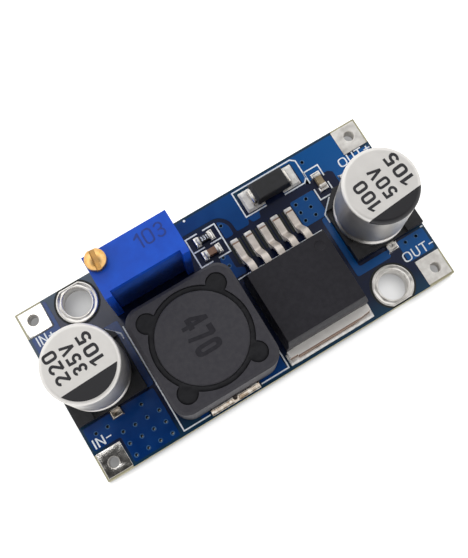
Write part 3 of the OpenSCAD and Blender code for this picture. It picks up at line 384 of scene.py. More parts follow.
# Via barrel: the copper lining of each hole, painted near black as the shade deep in a narrow hole,
# so that holes look black.
hole_shade_copper = worked("via_barrel", ("#0b1420", "#1a2836"), 0.3, (0.5, 0.6), 0.1, 0.004,
                       {"Metallic": 0.5})
via_barrels = film("via_barrels", [ring for via in VIAS
                                   for ring in (circle(via, BARREL_OUT, 12),
                                                circle(via, BARREL_IN, 12))],
                   bottom, top)
finished(via_barrels, hole_shade_copper, "tinned_copper")
# The plugs take the same painted shade.
via_plugs = film("via_plugs", [circle(via, PLUG_R) for via in PLUGGED_VIAS],
                 copper_top - PLUG_SINK, copper_top + PLUG_RISE)
finished(via_plugs, hole_shade_copper, "masked_laminate")


# Terminals and mounting rings: copper plated through the board and dipped in molten solder,
# so the metal stands in soft uneven cushions, thin at the edges.

FLAT = math.radians(0.4)   # faces closer to one plane than this are one face
LEVEL = 0.9                # upward share of a face that counts as level
POOL = 0.8                 # from one pool of frozen tin to the next
POOL_RISE = (0.018, 0.12)  # shallow where it is bright, deep where it drained
DRAIN_WAY = (0.7, -0.7, 0)
DRAIN_FROM, DRAIN_TO = -8.0, 20.0
PAD_STEPS = (0.03, 0.018), (0.05, 0.004)  # how far in and how high each step of a cushion is
RING_STEPS = (0.06, 0.05), (0.12, 0.015), (0.06, -0.045)


def copy_of(node, name):
    """Copy of a CAD solid in millimetres, with its loose triangles merged."""
    piece = bpy.data.objects.new(name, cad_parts[node].data.copy())
    bpy.context.scene.collection.objects.link(piece)
    pick(piece)
    bpy.ops.mesh.customdata_custom_splitnormals_clear()
    piece.scale = (1 / MM,) * 3
    bpy.ops.object.transform_apply()
    bpy.ops.object.mode_set(mode="EDIT")
    bpy.ops.mesh.select_all(action="SELECT")
    bpy.ops.mesh.remove_doubles(threshold=MERGE)
    bpy.ops.mesh.dissolve_limited(angle_limit=FLAT)
    bpy.ops.object.mode_set(mode="OBJECT")
    return piece


def cushioned(node, *steps):
    """Copy of a plated pad whose two faces rise in soft steps, as dipped solder stands on it."""
    piece = copy_of(node, f"{node}_tin")
    bpy.ops.object.mode_set(mode="EDIT")
    bpy.ops.mesh.select_mode(type="FACE")
    bpy.ops.mesh.select_all(action="DESELECT")
    bpy.ops.object.mode_set(mode="OBJECT")
    for face in piece.data.polygons:
        face.select = abs(face.normal.z) > LEVEL
    bpy.ops.object.mode_set(mode="EDIT")
    for width, rise in steps:
        bpy.ops.mesh.inset(thickness=width, depth=rise)
    bpy.ops.object.mode_set(mode="OBJECT")
    return piece


def tin(name, gloss, dulling):
    """Dipped tin that froze in pools, bright but duller where it drained, at the OUT- corner."""
    skin = worked(name, ("#d8d4ce", "#f1eee9"), 0.7, gloss, 0.15, 0.003)
    tree = skin.node_tree
    shader = tree.nodes["Principled BSDF"]
    place = add(tree, "TexCoord").outputs["Object"]
    drained = add(tree, "VectorMath", {0: place, 1: DRAIN_WAY}, operation="DOT_PRODUCT")
    frost = add(tree, "MapRange",
                {"Value": drained.outputs["Value"], "From Min": DRAIN_FROM * MM,
                 "From Max": DRAIN_TO * MM, "To Max": dulling}, interpolation_type="SMOOTHSTEP")
    pools = add(tree, "TexNoise", {"Vector": place, "Scale": 1 / (POOL * MM), "Detail": 0.0})
    deeper = add(tree, "MapRange",
                 {"Value": frost, "From Max": dulling,
                  "To Min": POOL_RISE[0] * MM, "To Max": POOL_RISE[1] * MM})
    swells = add(tree, "Bump",
                 {"Height": pools, "Distance": deeper,
                  "Normal": shader.inputs["Normal"].links[0].from_socket})
    rough = add(tree, "Math",
                {0: frost, 1: 0.4,
                 2: shader.inputs["Roughness"].links[0].from_socket}, operation="MULTIPLY_ADD")
    metal = add(tree, "MapRange", {"Value": frost, "To Min": 1.0, "To Max": 0.1})
    tree.links.new(swells.outputs["Normal"], shader.inputs["Normal"])
    tree.links.new(rough.outputs["Value"], shader.inputs["Roughness"])
    tree.links.new(metal.outputs["Result"], shader.inputs["Metallic"])
    return skin


# Dipped tin: bright white metal with the pools it froze in.
pad_tin = tin("dipped_tin", (0.11, 0.19), 0.75)
for node in ("in_plus_terminal", "in_minus_terminal", "out_plus_terminal", "out_minus_terminal"):
    finished(cushioned(node, *PAD_STEPS), pad_tin, "tinned_copper", node, smooth=MELTED)
# Rubbed tin: the same metal dulled where screw heads have turned on it.
ring_tin = tin("rubbed_tin", (0.26, 0.4), 0.12)
for node in ("input_mounting_ring", "output_mounting_ring"):
    finished(cushioned(node, *RING_STEPS), ring_tin, "tinned_copper", node, smooth=MELTED)


# Legend: white ink printed on the mask, with the outline of each part, its polarity marks and
# the names of the four terminals.

INK_W = 0.15
INK_T = 0.022
INK_LOW, INK_HIGH = top + 0.02, copper_top + INK_T  # it covers steps between mask and copper
NAME_PEN = 0.12   # share of a name's height
GLYPH_GAP = 0.15  # share of a letter's height
INK_DOT, INK_DOT_R = (-0.6, 9.8), 0.14
BOX_LEFT, BOX_FRONT, BOX_REAR = 5.45, 6.65, 9.75  # printed box of the diode
SHARP_TURN = -0.2  # a line that turns back further than this has its mitre cut off


def stroke(points, width):
    """Outline of a drawn line, mitred where it turns and cut off where it turns back."""
    left, right = [], []
    points = [Vector(p) for p in points]
    for i, here in enumerate(points):
        ways = [(b - a).normalized()
                for a, b in zip(points[max(i - 1, 0):], points[max(i, 1):i + 2])]
        sides = [Vector((-way.y, way.x)) * width / 2 for way in (ways[0], ways[-1])]
        middle = (sides[0] + sides[1]).normalized()
        out = middle * (width * width / 4 / middle.dot(sides[0]))
        turns_back = ways[0].dot(ways[-1]) < SHARP_TURN
        outer = ways[0].cross(ways[-1]) > 0
        left += [here + s for s in sides] if turns_back and not outer else [here + out]
        right += [here - s for s in sides] if turns_back and outer else [here - out]
    return left + right[::-1]


def loop(width, pen):
    """Outer and inner outline of a rounded character of a given width, one unit high."""
    return [turned([(0, 0), (width, 0), (width, 1), (0, 1)], width / 2),
            turned([(pen, pen), (width - pen, pen), (width - pen, 1 - pen), (pen, 1 - pen)],
                   width / 2 - pen)]


def characters(pen):
    """Outlines of the printed characters, one unit high, for a width of pen."""
    half = pen / 2
    return {
        "0": loop(0.6, pen),
        "1": [[(0.4 - pen, 0), (0.4 - pen, 0.78), (0.02, 0.65), (0.02, 0.65 + pen), (0.3, 1),
               (0.4, 1), (0.4, 0)]],
        "2": [stroke(arc((0.3, 0.7), 0.3 - half, 172, -38, 9) + [(half, half), (0.6, half)], pen)],
        "3": [arc((0.28, 0.73), 0.27, 165, -52, 9) + arc((0.28, 0.29), 0.29, 52, -165, 9)
              + arc((0.28, 0.29), 0.29 - pen, -165, 85, 9)
              + [(0.17, 0.52 - half), (0.17, 0.52 + half)]
              + arc((0.28, 0.73), 0.27 - pen, -85, 165, 9)],
        "4": [[(0.52 - pen, 0), (0.52, 0), (0.52, 0.22), (0.64, 0.22), (0.64, 0.22 + pen),
               (0.52, 0.22 + pen), (0.52, 1), (0.5 - pen, 1), (0, 0.24 + pen), (0, 0.22),
               (0.52 - pen, 0.22)],
              [(0.52 - pen, 0.22 + pen), (0.52 - pen, 1.04 - 2 * pen), (1.08 * pen, 0.22 + pen)]],
        "5": [stroke([(0.56, 1 - half), (0.06 + half, 1 - half), (0.02 + half, 0.47)]
                     + arc((0.28, 0.31), 0.31 - half, 122, -155, 10), pen)],
        "7": [stroke([(0, 1 - half), (0.6 - half, 1 - half), (0.16 + half, 0)], pen)],
        "V": [stroke([(half, 1), (0.34, half), (0.68 - half, 1)], pen)],
        "I": [stroke([(half, 0), (half, 1)], pen)],
        "N": [[(0, 0), (0, 1), (pen, 1), (0.62 - pen, 2 * pen), (0.62 - pen, 1), (0.62, 1),
               (0.62, 0), (0.62 - pen, 0), (pen, 1 - 2 * pen), (pen, 0)]],
        "O": loop(0.76, pen),
        "U": [stroke([(half, 1)] + arc((0.31, 0.31), 0.31 - half, 180, 360, 9) + [(0.62 - half, 1)],
                     pen)],
        "T": [[(0, 1), (0.64, 1), (0.64, 1 - pen), (0.32 + half, 1 - pen), (0.32 + half, 0),
               (0.32 - half, 0), (0.32 - half, 1 - pen), (0, 1 - pen)]],
        "+": [[(0, 0.49 - half), (0.29 - half, 0.49 - half), (0.29 - half, 0.2), (0.29 + half, 0.2),
               (0.29 + half, 0.49 - half), (0.58, 0.49 - half), (0.58, 0.49 + half),
               (0.29 + half, 0.49 + half), (0.29 + half, 0.78), (0.29 - half, 0.78),
               (0.29 - half, 0.49 + half), (0, 0.49 + half)]],
        "-": [stroke([(0, 0.49), (0.42, 0.49)], pen)],
    }


def lettering(name, words, pen, centre, size, turn, low, high):
    """Printed words of a given width and height, turned about their centre."""
    outlines, x = [], 0.0
    for letter in words:
        glyph = [[Vector(p) + Vector((x, 0)) for p in outline]
                 for outline in characters(pen)[letter]]
        outlines += glyph
        x = max(p.x for outline in glyph for p in outline) + GLYPH_GAP
    width = x - GLYPH_GAP
    along = Vector((math.cos(math.radians(turn)), math.sin(math.radians(turn))))
    up = Vector((-along.y, along.x))
    return film(name, [[Vector(centre) + along * ((p.x / width - 0.5) * size[0])
                        + up * ((p.y - 0.5) * size[1]) for p in outline] for outline in outlines],
                low, high)


# Legend ink: matt white with thin places where the screen let less through.
legend_ink = worked("legend_ink", ("#dbe3ec", "#f3f7fb"), 0.35, (0.5, 0.65), 0.15, 0.004,
                    {"IOR": 1.5})
LEGEND_LINES = [
    # brackets of the resistor and the capacitor beside it
    [(-0.15, 7.85), (-1.6, 7.85), (-1.6, 4.3), (-0.15, 4.3)],
    [(0.55, 7.85), (2.05, 7.85), (2.05, 4.3), (0.55, 4.3)],
    [(-1.48, 6.1), (-0.15, 6.1)],
    [(0.55, 6.1), (1.93, 6.1)],
    # box of the diode
    [(8.05, BOX_FRONT), (BOX_LEFT, BOX_FRONT), (BOX_LEFT, BOX_REAR), (12.9, BOX_REAR),
     (13.4, 9.35), (13.4, 7.1), (12.95, BOX_FRONT), (10.4, BOX_FRONT)],
    # brackets of the output chip capacitor
    [(13.45, 6.3), (13.45, 7.7), (15.25, 7.7), (15.25, 6.3)],
    [(13.45, 5.5), (13.45, 4.1), (15.25, 4.1), (15.25, 5.5)],
    # cut corners of the two cans' outlines
    [(14.4, 3.9), (12.95, 2.45), (12.95, 1.4)],
    [(-13.9, 3.9), (-12.65, 2.65), (-12.65, 2.0)],
    # corners of the inductor
    [(-8.85, -9.73), (-12.1, -9.73), (-12.1, 3.2)],
    [(-2.62, -9.73), (0.8, -9.73), (0.8, 0.6)],
    # rear edge of the regulator, and the end of the output can's outline
    [(1.1, 1.13), (11.75, 1.13)],
    [(21.05, -4.1), (21.35, -4.1)],
]
legend = film("legend_lines", [stroke(line, INK_W) for line in LEGEND_LINES]
              + [circle(INK_DOT, INK_DOT_R, 12)], INK_LOW, INK_HIGH)
finished(legend, legend_ink, "masked_laminate")
for name, words, centre, size in (
        ("in_plus_name", "IN+", (-19.7, 6.38), (2.1, 1.1)),
        ("in_minus_name", "IN-", (-19.9, -6.12), (2.1, 1.05)),
        ("out_plus_name", "OUT+", (19.3, 6.5), (4.0, 1.05)),
        ("out_minus_name", "OUT-", (19.45, -6.17), (3.8, 1.1))):
    words_piece = lettering(name, words, NAME_PEN, centre, size, 0, INK_LOW, INK_HIGH)
    finished(words_piece, legend_ink, "masked_laminate")


# Solder joints: paste melted in an oven for the parts on top, and iron-soldered cones on the
# trimmer's pins below. Each has run up its lead and out to the edge of its pad.

SWELL_L = 0.8  # from one swell of the solder to the next
PASSES = 6     # smoothing passes: the more there are, the further the metal has run


def flowed(piece, voxel, swell, passes, waves=0.0):
    """Makes a sharp block of metal look as if it had been liquid."""
    change(piece, "REMESH", mode="VOXEL", voxel_size=voxel)
    if waves:
        change(piece, "DISPLACE", texture=uneven, texture_coords="LOCAL", strength=waves)
    if swell:
        change(piece, "DISPLACE", strength=swell, mid_level=0.0)
    change(piece, "SMOOTH", factor=0.5, iterations=passes)


uneven = bpy.data.textures.new("uneven_solder", "CLOUDS")
uneven.noise_scale = SWELL_L

# Solder: bright white metal, almost a mirror: its flats look dark and its slopes flash.
solder = worked("reflowed_solder", ("#dedbd7", "#f3f1ee"), 0.5, (0.14, 0.24), 0.3, 0.002,
                {"Metallic": 1.0})
# Frosted solder: the same metal cooled slowly over a big pad, so matt and pale.
frosted_solder = worked("frosted_solder", ("#d3d0cc", "#f3f1ee"), 0.6, (0.46, 0.62), 0.25, 0.004,
                        {"Metallic": 0.4})
# Solder with flux: bright metal under a thin brown film where the flux burnt on.
fluxed_solder = worked("fluxed_solder", ("#9c8871", "#e4ddd3"), 0.45, (0.14, 0.26), 0.3, 0.003,
                       {"Metallic": 1.0})
# Part, metal, size of the mesh, swell over the pad, and depth of the uneven waves.
for part, skin, voxel, swell, waves in (
        ("input_cap", fluxed_solder, 0.05, 0.02, 0.1),
        ("output_cap", solder, 0.05, 0.02, 0.2),
        ("inductor", fluxed_solder, 0.05, 0.0, 0.05),
        ("regulator", frosted_solder, 0.07, 0.01, 0.05),
        ("diode", frosted_solder, 0.045, 0.02, 0.08),
        ("trimmer", solder, 0.05, 0.02, 0.1),
        ("resistor", solder, 0.035, 0.0, 0.04),
        ("chip_cap", solder, 0.035, 0.0, 0.04),
        ("output_chip_cap", solder, 0.035, 0.0, 0.04)):
    joint = copy_of(f"{part}_solder", f"{part}_solder_joints")
    flowed(joint, voxel, swell, PASSES, waves=waves)
    finished(joint, skin, "solder", f"{part}_solder", smooth=MELTED)

# Mask drawn back from the diode's pads and from the regulator's leads, which leaves dark bays.
pads_low, pads_high = extent("diode_solder")
body_low, body_high = extent("diode_body")
BAY = 0.15          # bare margin round the right pad; the left bay fills the printed box
UNDER_BODY = 0.5    # the bays run this far below the body
BAY_SINK, BAY_RISE = 0.02, 0.004
left, front, rear = BOX_LEFT + INK_W / 2, BOX_FRONT + INK_W / 2, BOX_REAR - INK_W / 2
left_end, right_end = body_low.x + UNDER_BODY, body_high.x - UNDER_BODY
bays = [[(left, front), (left_end, front), (left_end, rear), (left, rear)],
        [(right_end, pads_low.y - BAY), (pads_high.x + BAY, pads_low.y - BAY),
         (pads_high.x + BAY, pads_high.y + BAY), (right_end, pads_high.y + BAY)]]
finished(film("diode_pad_bays", bays, copper_top - BAY_SINK, copper_top + BAY_RISE), bare_mask,
         "masked_laminate")
LEAD_X, LEAD_PITCH, LEADS = 2.9, 1.7, 5
LEAD_BAY_W, LEAD_BAY_R = 1.52, 0.1
LEAD_BAY_FRONT, LEAD_BAY_REAR = 2.5, 5.1
LEAD_BAY_LOW, LEAD_BAY_HIGH = top + 0.015, top + MASK_T + 0.005  # in the mask, just above it
lead_bays = []
for x in [LEAD_X + LEAD_PITCH * k for k in range(LEADS)]:
    left, right = x - LEAD_BAY_W / 2, x + LEAD_BAY_W / 2
    lead_bays.append(turned([(left, LEAD_BAY_FRONT), (right, LEAD_BAY_FRONT),
                             (right, LEAD_BAY_REAR), (left, LEAD_BAY_REAR)], LEAD_BAY_R))
finished(film("lead_pad_bays", lead_bays, LEAD_BAY_LOW, LEAD_BAY_HIGH), dark_bare,
         "masked_laminate")


# Chip parts: fired ceramic blocks with metal dipped over both ends. The resistor is a white
# tile with a black glaze on top; the two capacitors are solid brown and tan ceramic.

EDGE_ANGLE = math.radians(32)     # edges that turn more than this are broken
CHIP_EDGE, DIPPED_EDGE = 0.04, 0.06
GLAZE_L, GLAZE_W, GLAZE_R = 1.08, 0.72, 0.06
GLAZE_SINK, GLAZE_RISE, GLAZE_EDGE = 0.05, 0.015, 0.012
DIGIT_PEN, DIGITS_SIZE, DIGITS_T = 0.17, (0.8, 0.5), 0.01


def rounded(node, width, segments=2):
    """Copy of a CAD solid with its edges broken, as moulding, pressing or tumbling leaves them."""
    piece = copy_of(node, f"{node}_finished")
    change(piece, "BEVEL", width=width, segments=segments, limit_method="ANGLE",
           angle_limit=EDGE_ANGLE, use_clamp_overlap=True)
    return piece


# Tinned chip end: grey-white metal, bright but broken up by the roughness of the dip.
chip_metal = worked("tinned_chip_end", ("#c6c2bc", "#ece9e4"), 0.25, (0.28, 0.42), 0.12, 0.01,
                    {"Metallic": 1.0})
# Black glaze: smooth, near black, with a soft shine.
glaze = worked("black_glaze", ("#17171a", "#232327"), 0.4, (0.3, 0.4), 0.15, 0.004, {"IOR": 1.5})
# Brown ceramic: warm brown, faintly mottled, half matt.
brown_ceramic = worked("brown_ceramic", ("#7a553d", "#8f6c55"), 0.3, (0.4, 0.5), 0.1, 0.004,
                       {"IOR": 1.6})
# Tan ceramic: the same, paler and more yellow.
tan_ceramic = worked("tan_ceramic", ("#7c6c50", "#98876a"), 0.3, (0.4, 0.5), 0.1, 0.004,
                     {"IOR": 1.6})
for node, skin, slot in (("resistor_body", glaze, "black_glaze"),
                         ("chip_cap_body", brown_ceramic, "brown_ceramic"),
                         ("output_chip_cap_body", tan_ceramic, "tan_ceramic")):
    finished(rounded(node, CHIP_EDGE), skin, slot, node)
for node in ("resistor_ends", "chip_cap_ends", "output_chip_cap_ends"):
    finished(rounded(node, DIPPED_EDGE), chip_metal, "chip_metal", node)
chip_low, chip_high = extent("resistor_body")
tile_x, tile_y = (chip_low.x + chip_high.x) / 2, (chip_low.y + chip_high.y) / 2
glaze_top = extent("resistor_ends")[1].z + GLAZE_RISE
tile_corners = [(tile_x + a * GLAZE_L / 2, tile_y + b * GLAZE_W / 2)
                for a, b in ((-1, -1), (1, -1), (1, 1), (-1, 1))]
tile = film("resistor_glaze", [turned(tile_corners, GLAZE_R)], chip_high.z - GLAZE_SINK,
            glaze_top, edge=GLAZE_EDGE)
finished(tile, glaze, "black_glaze")
digits = lettering("resistor_value", "331", DIGIT_PEN, (tile_x, tile_y), DIGITS_SIZE, 0,
                   glaze_top - MASK_SINK, glaze_top + DIGITS_T)
finished(digits, legend_ink, "white_ceramic")


# Diode: a black epoxy block moulded round its chip, with draft on all sides. Two tinned strips
# leave it at half height and are bent down and out to their pads.

DIODE_EDGE, STRIP_EDGE = 0.12, 0.05
# Black epoxy: near black and half matt, with a fine grain that breaks up its shine.
black_epoxy = worked("black_epoxy", ("#141416", "#1f1f23"), 0.6, (0.45, 0.58), 0.14, 0.012,
                     {"IOR": 1.5})
# Tinned strip: satin white metal, slightly uneven from the plating bath.
tinned_strip = worked("tinned_strip", ("#c9c4bc", "#ebe7e0"), 0.5, (0.2, 0.34), 0.15, 0.006,
                      {"Metallic": 1.0})
finished(rounded("diode_body", DIODE_EDGE, 3), black_epoxy, "black_epoxy", "diode_body")
for node in ("diode_left_lead", "diode_right_lead"):
    finished(rounded(node, STRIP_EDGE), tinned_strip, "tinned_strip", node)


# Switching regulator: charcoal epoxy moulded round a thick copper tab, which is tinned and
# soldered flat to the board, with five leads bent down to their pads.

REGULATOR_EDGE, SHEARED_EDGE = 0.1, 0.06
TIPS_MIDDLE, TIPS_REACH = -2.33, 6.65   # the cut ends lie further than this from the middle
TIP_L = 0.27                            # the last of each tip is coloured as bare copper
TAB_END, LEADS_START = -8.0, -4.0       # dull plating on the tab gives way to bright leads
BARE_SHARE = 0.85                       # how far the copper shows at a cut
TAB_METAL = 0.45                        # a dull plating reflects only in part
# Charcoal epoxy: dark grey and matt, with the even grain of an eroded mould.
charcoal_epoxy = worked("charcoal_epoxy", ("#252429", "#2a292e"), 0.5, (0.4, 0.5), 0.16, 0.008,
                        {"IOR": 1.3})
finished(rounded("regulator_body", REGULATOR_EDGE, 3), charcoal_epoxy, "charcoal_epoxy",
         "regulator_body")
# Tinned copper: satin grey-white metal, with brown copper bare at the sheared tab and lead tips.
sheared_strip = worked("tinned_copper_strip", ("#ccc3ba", "#e4ddd6"), 0.9, (0.54, 0.66), 0.2,
                       0.006)
tree = sheared_strip.node_tree
shader = tree.nodes["Principled BSDF"]
place = add(tree, "SeparateXYZ", {"Vector": add(tree, "TexCoord").outputs["Object"]})
facing = add(tree, "SeparateXYZ", {"Vector": add(tree, "NewGeometry").outputs["Normal"]})
end = add(tree, "Math", {0: place.outputs["Y"], 1: TIPS_MIDDLE * MM, 2: TIPS_REACH * MM},
          operation="COMPARE")
upright = add(tree, "Math", {0: facing.outputs["Y"]}, operation="ABSOLUTE")
cut = add(tree, "Math", {0: upright, 1: end}, operation="SUBTRACT")
face = add(tree, "MapRange",
           {"Value": cut, "From Min": 0.35, "From Max": 0.75, "To Max": BARE_SHARE})
tip = add(tree, "Math",
          {0: place.outputs["Y"], 1: TIPS_MIDDLE * MM, 2: (TIPS_REACH + TIP_L) * MM},
          operation="COMPARE")
edge = add(tree, "MapRange", {"Value": tip, "To Min": BARE_SHARE, "To Max": 0.0})
bare = add(tree, "Math", {0: face, 1: edge}, operation="MAXIMUM")
ends = add(tree, "Mix",
           {0: bare, 6: shader.inputs["Base Color"].links[0].from_socket,
            7: linear("#85624a")}, data_type="RGBA")
tree.links.new(ends.outputs[2], shader.inputs["Base Color"])
# The tab's plating is duller than the leads', which were drawn through rollers. Its colour is also
# lightened to near white, partly for the pale matt tin and partly as painted light making up for
# the body's shade on it.
drawn = add(tree, "MapRange",
            {"Value": place.outputs["Y"], "From Min": TAB_END * MM,
             "From Max": LEADS_START * MM, "To Min": TAB_METAL, "To Max": 1.0})
tree.links.new(drawn.outputs["Result"], shader.inputs["Metallic"])
tab_light_share = add(tree, "MapRange", {"Value": drawn, "From Min": TAB_METAL, "To Min": 0.7, "To Max": 0.0})
painted_tab_light = add(tree, "Mix",
             {0: tab_light_share, 6: ends.inputs[6].links[0].from_socket,
              7: linear("#fdfbf7")}, data_type="RGBA")
tree.links.new(painted_tab_light.outputs[2], ends.inputs[6])
finished(rounded("regulator_tab", SHEARED_EDGE), sheared_strip, "tinned_strip", "regulator_tab")
for number in (1, 2, 4, 5):
    node = f"regulator_lead_{number}"
    finished(rounded(node, SHEARED_EDGE), sheared_strip, "tinned_strip", node)


# Electrolytic capacitors: a drawn aluminium can crimped over a rubber plug, standing on a
# moulded base whose two flat leads turn out under it. The minus side is printed black.

BASE_EDGE = 0.1
CORNER_CUT = 1.95  # of the output can's base, at its rear left
DRAWN_W, DRAWN_L = 0.3, 12.0  # lines up the can from the drawing die, coarser than real to show
DRAWN_RELIEF = 0.006
COAT_FROM, COAT_TO = 0.5, 0.05  # the top's clear coat starts at its edge, this far down
INK_REACH = 0.6                 # the black print ends this far down
CAN_PEN, CAN_LINE_H, CAN_INK_T = 0.18, 1.5, 0.012
# Moulded black: dark heat-proof plastic, half matt and even.
moulded_black = worked("moulded_black", ("#131316", "#1f1f23"), 0.7, (0.42, 0.55), 0.15, 0.01,
                       {"IOR": 1.5})
# Can ink: near black and matt, so it stays dark in any light.
can_ink = worked("can_ink", ("#1a191d", "#29282d"), 0.5, (0.45, 0.55), 0.12, 0.004, {"IOR": 1.5})


def can_skin(name, centre, turn, chord, reach):
    """Aluminium, white and satin, with soft lines up its side and a clear coat on top.

    Its minus side is printed black beyond a chord, out to a radius.
    """
    skin = worked(name, ("#e0ddd9", "#e5e2de"), 1.2, (0.39, 0.43), 0.2, 0.002)
    tree = skin.node_tree
    shader = tree.nodes["Principled BSDF"]
    place = add(tree, "TexCoord").outputs["Object"]
    drawn = add(tree, "Mapping",
                {"Vector": place, "Scale": [1 / (c * MM) for c in (DRAWN_W, DRAWN_W, DRAWN_L)]})
    scores = add(tree, "TexNoise", {"Vector": drawn, "Scale": 1.0, "Detail": 2.0})
    furrows = add(tree, "Bump",
                  {"Height": scores, "Distance": DRAWN_RELIEF * MM,
                   "Normal": shader.inputs["Normal"].links[0].from_socket})
    tree.links.new(furrows.outputs["Normal"], shader.inputs["Normal"])
    across = add(tree, "Mapping", {"Vector": place, "Location": [-c * MM for c in (*centre, 0)]})
    flat = add(tree, "VectorMath", {0: across, 1: (1, 1, 0)}, operation="MULTIPLY")
    away = add(tree, "VectorMath",
               {0: flat,
                1: (math.sin(math.radians(turn)), -math.cos(math.radians(turn)), 0)},
               operation="DOT_PRODUCT")
    from_middle = add(tree, "VectorMath", {0: flat}, operation="LENGTH")
    beyond = add(tree, "Math", {0: away.outputs["Value"], 1: chord * MM}, operation="GREATER_THAN")
    within = add(tree, "Math", {0: from_middle.outputs["Value"], 1: reach * MM},
                 operation="LESS_THAN")
    height = add(tree, "SeparateXYZ", {"Vector": place})
    upper = add(tree, "Math", {0: height.outputs["Z"], 1: (can_top - INK_REACH) * MM},
                operation="GREATER_THAN")
    zone = add(tree, "Math", {0: beyond, 1: within}, operation="MULTIPLY")
    inked = add(tree, "Math", {0: zone, 1: upper}, operation="MULTIPLY")
    bare = shader.inputs["Base Color"].links[0].from_socket
    printed = add(tree, "Mix", {0: inked, 6: bare, 7: linear("#1c1b1f")}, data_type="RGBA")
    coated = add(tree, "MapRange",
                 {"Value": height.outputs["Z"], "From Min": (can_top - COAT_FROM) * MM,
                  "From Max": (can_top - COAT_TO) * MM, "To Min": 1.0, "To Max": 0.45})
    clear = add(tree, "Math", {0: 1.0, 1: inked}, operation="SUBTRACT")
    metal = add(tree, "Math", {0: coated, 1: clear}, operation="MULTIPLY")
    tree.links.new(printed.outputs[2], shader.inputs["Base Color"])
    tree.links.new(metal.outputs["Value"], shader.inputs["Metallic"])
    return skin


can_top = extent("input_cap_can")[1].z
# Part, turn of the print in degrees, distance of its black side from the middle, radius of the
# black side, and each line of print with its place from the middle and its length.
for cap, turn, chord, reach, lines in (
        ("input_cap", 2.2, 1.77, 3.62,
         (("220", -2.15, 0.75, 3.5), ("35V", -0.25, 0.7, 3.3), ("105", 1.6, 0.75, 3.5))),
        ("output_cap", 5.0, 2.3, 4.1,
         (("100", -1.87, -0.3, 3.3), ("50V", 0.2, 0.15, 3.45), ("105", 2.35, 0.45, 3.6)))):
    low, high = extent(f"{cap}_can")
    middle = ((low.x + high.x) / 2, (low.y + high.y) / 2)
    finished(copy_of(f"{cap}_can", f"{cap}_can_finished"),
             can_skin(f"{cap}_aluminium", middle, turn, chord, reach),
             "can_aluminium", f"{cap}_can", smooth=40)
    base = rounded(f"{cap}_base", BASE_EDGE)
    if cap == "output_cap":  # its corner is cut further back than the other's
        corner = extent(f"{cap}_base")
        bpy.ops.object.mode_set(mode="EDIT")
        bpy.ops.mesh.select_all(action="SELECT")
        bpy.ops.mesh.bisect(plane_co=(corner[0].x + CORNER_CUT, corner[1].y, 0),
                            plane_no=(-1, 1, 0), use_fill=True, clear_outer=True)
        bpy.ops.object.mode_set(mode="OBJECT")
    finished(base, moulded_black, "black_moulding", f"{cap}_base")
    for side in ("plus", "minus"):
        node = f"{cap}_{side}_lead"
        finished(rounded(node, STRIP_EDGE), tinned_strip, "tinned_strip", node)
    for i, (words, dx, dy, width) in enumerate(lines):
        line = lettering(f"{cap}_print_{i + 1}", words, CAN_PEN,
                         (middle[0] + dx, middle[1] + dy), (width, CAN_LINE_H), 90 + turn,
                         can_top - MASK_SINK, can_top + CAN_INK_T)
        finished(line, can_ink, "black_moulding")


# Power inductor: a ferrite drum wound with copper wire, glued into a square ferrite ring that
# shields it, on a moulded base with two bent clips.

SHIELD_EDGE, DRUM_EDGE, PLATE_EDGE = 0.24, 0.2, 0.08
BEAD_VOXEL, BEAD_SWELL, BEAD_PASSES, BEAD_WAVES = 0.09, 0.16, 4, 0.12
VALUE_PEN, VALUE_PLACE, VALUE_SIZE, VALUE_T = 0.21, (-5.65, -2.95), (4.1, 2.9), 0.015
# Pressed ferrite: charcoal grey and faintly granular, with a dull polish from tumbling.
ferrite = worked("pressed_ferrite", ("#3a393e", "#403f44"), 0.5, (0.5, 0.6), 0.18, 0.016,
                 {"IOR": 1.25})
# Ground ferrite: the same grey, a little finer and smoother on the drum's turned flange.
drum_ferrite = worked("ground_ferrite", ("#3b3a3f", "#414044"), 0.5, (0.48, 0.58), 0.14, 0.01,
                      {"IOR": 1.25})
# Dark adhesive: dull black epoxy that looks soft and a little lumpy.
dark_adhesive = worked("dark_adhesive", ("#101014", "#17171b"), 0.6, (0.5, 0.6), 0.4, 0.02,
                       {"IOR": 1.35})
# Enamelled copper: warm red-brown metal, smooth and bright.
copper_wire = worked("enamelled_copper", ("#a4582c", "#c67a44"), 1.2, (0.25, 0.35), 0.3, 0.01,
                     {"Metallic": 1.0})
finished(rounded("inductor_shield", SHIELD_EDGE, 4), ferrite, "ferrite", "inductor_shield")
finished(rounded("inductor_drum", DRUM_EDGE, 4), drum_ferrite, "ferrite", "inductor_drum")
adhesive = copy_of("inductor_adhesive", "inductor_adhesive_bead")
flowed(adhesive, BEAD_VOXEL, BEAD_SWELL, BEAD_PASSES, waves=BEAD_WAVES)
finished(adhesive, dark_adhesive, "dark_adhesive", "inductor_adhesive", smooth=MELTED)
finished(rounded("inductor_base", PLATE_EDGE), moulded_black, "black_moulding", "inductor_base")
for node in ("inductor_front_clip", "inductor_rear_clip"):
    finished(rounded(node, STRIP_EDGE), tinned_strip, "tinned_strip", node)
dress(copper_wire, "inductor_winding")
# Ferrite ink: a darker grey that barely stands out from the core.
ferrite_ink = worked("ferrite_ink", ("#26252a", "#2d2c31"), 0.5, (0.5, 0.6), 0.14, 0.006,
                     {"IOR": 1.25})
drum_top = extent("inductor_drum")[1].z
value = lettering("inductor_value", "470", VALUE_PEN, VALUE_PLACE, VALUE_SIZE, -90,
                  drum_top - MASK_SINK, drum_top + VALUE_T)
finished(value, ferrite_ink, "dark_adhesive")


# Trimmer: a blue moulded case with a brass screw through its roof. The screw's worm turns a
# plastic wheel that carries a wiper spring over a ceramic element, potted in at the front.

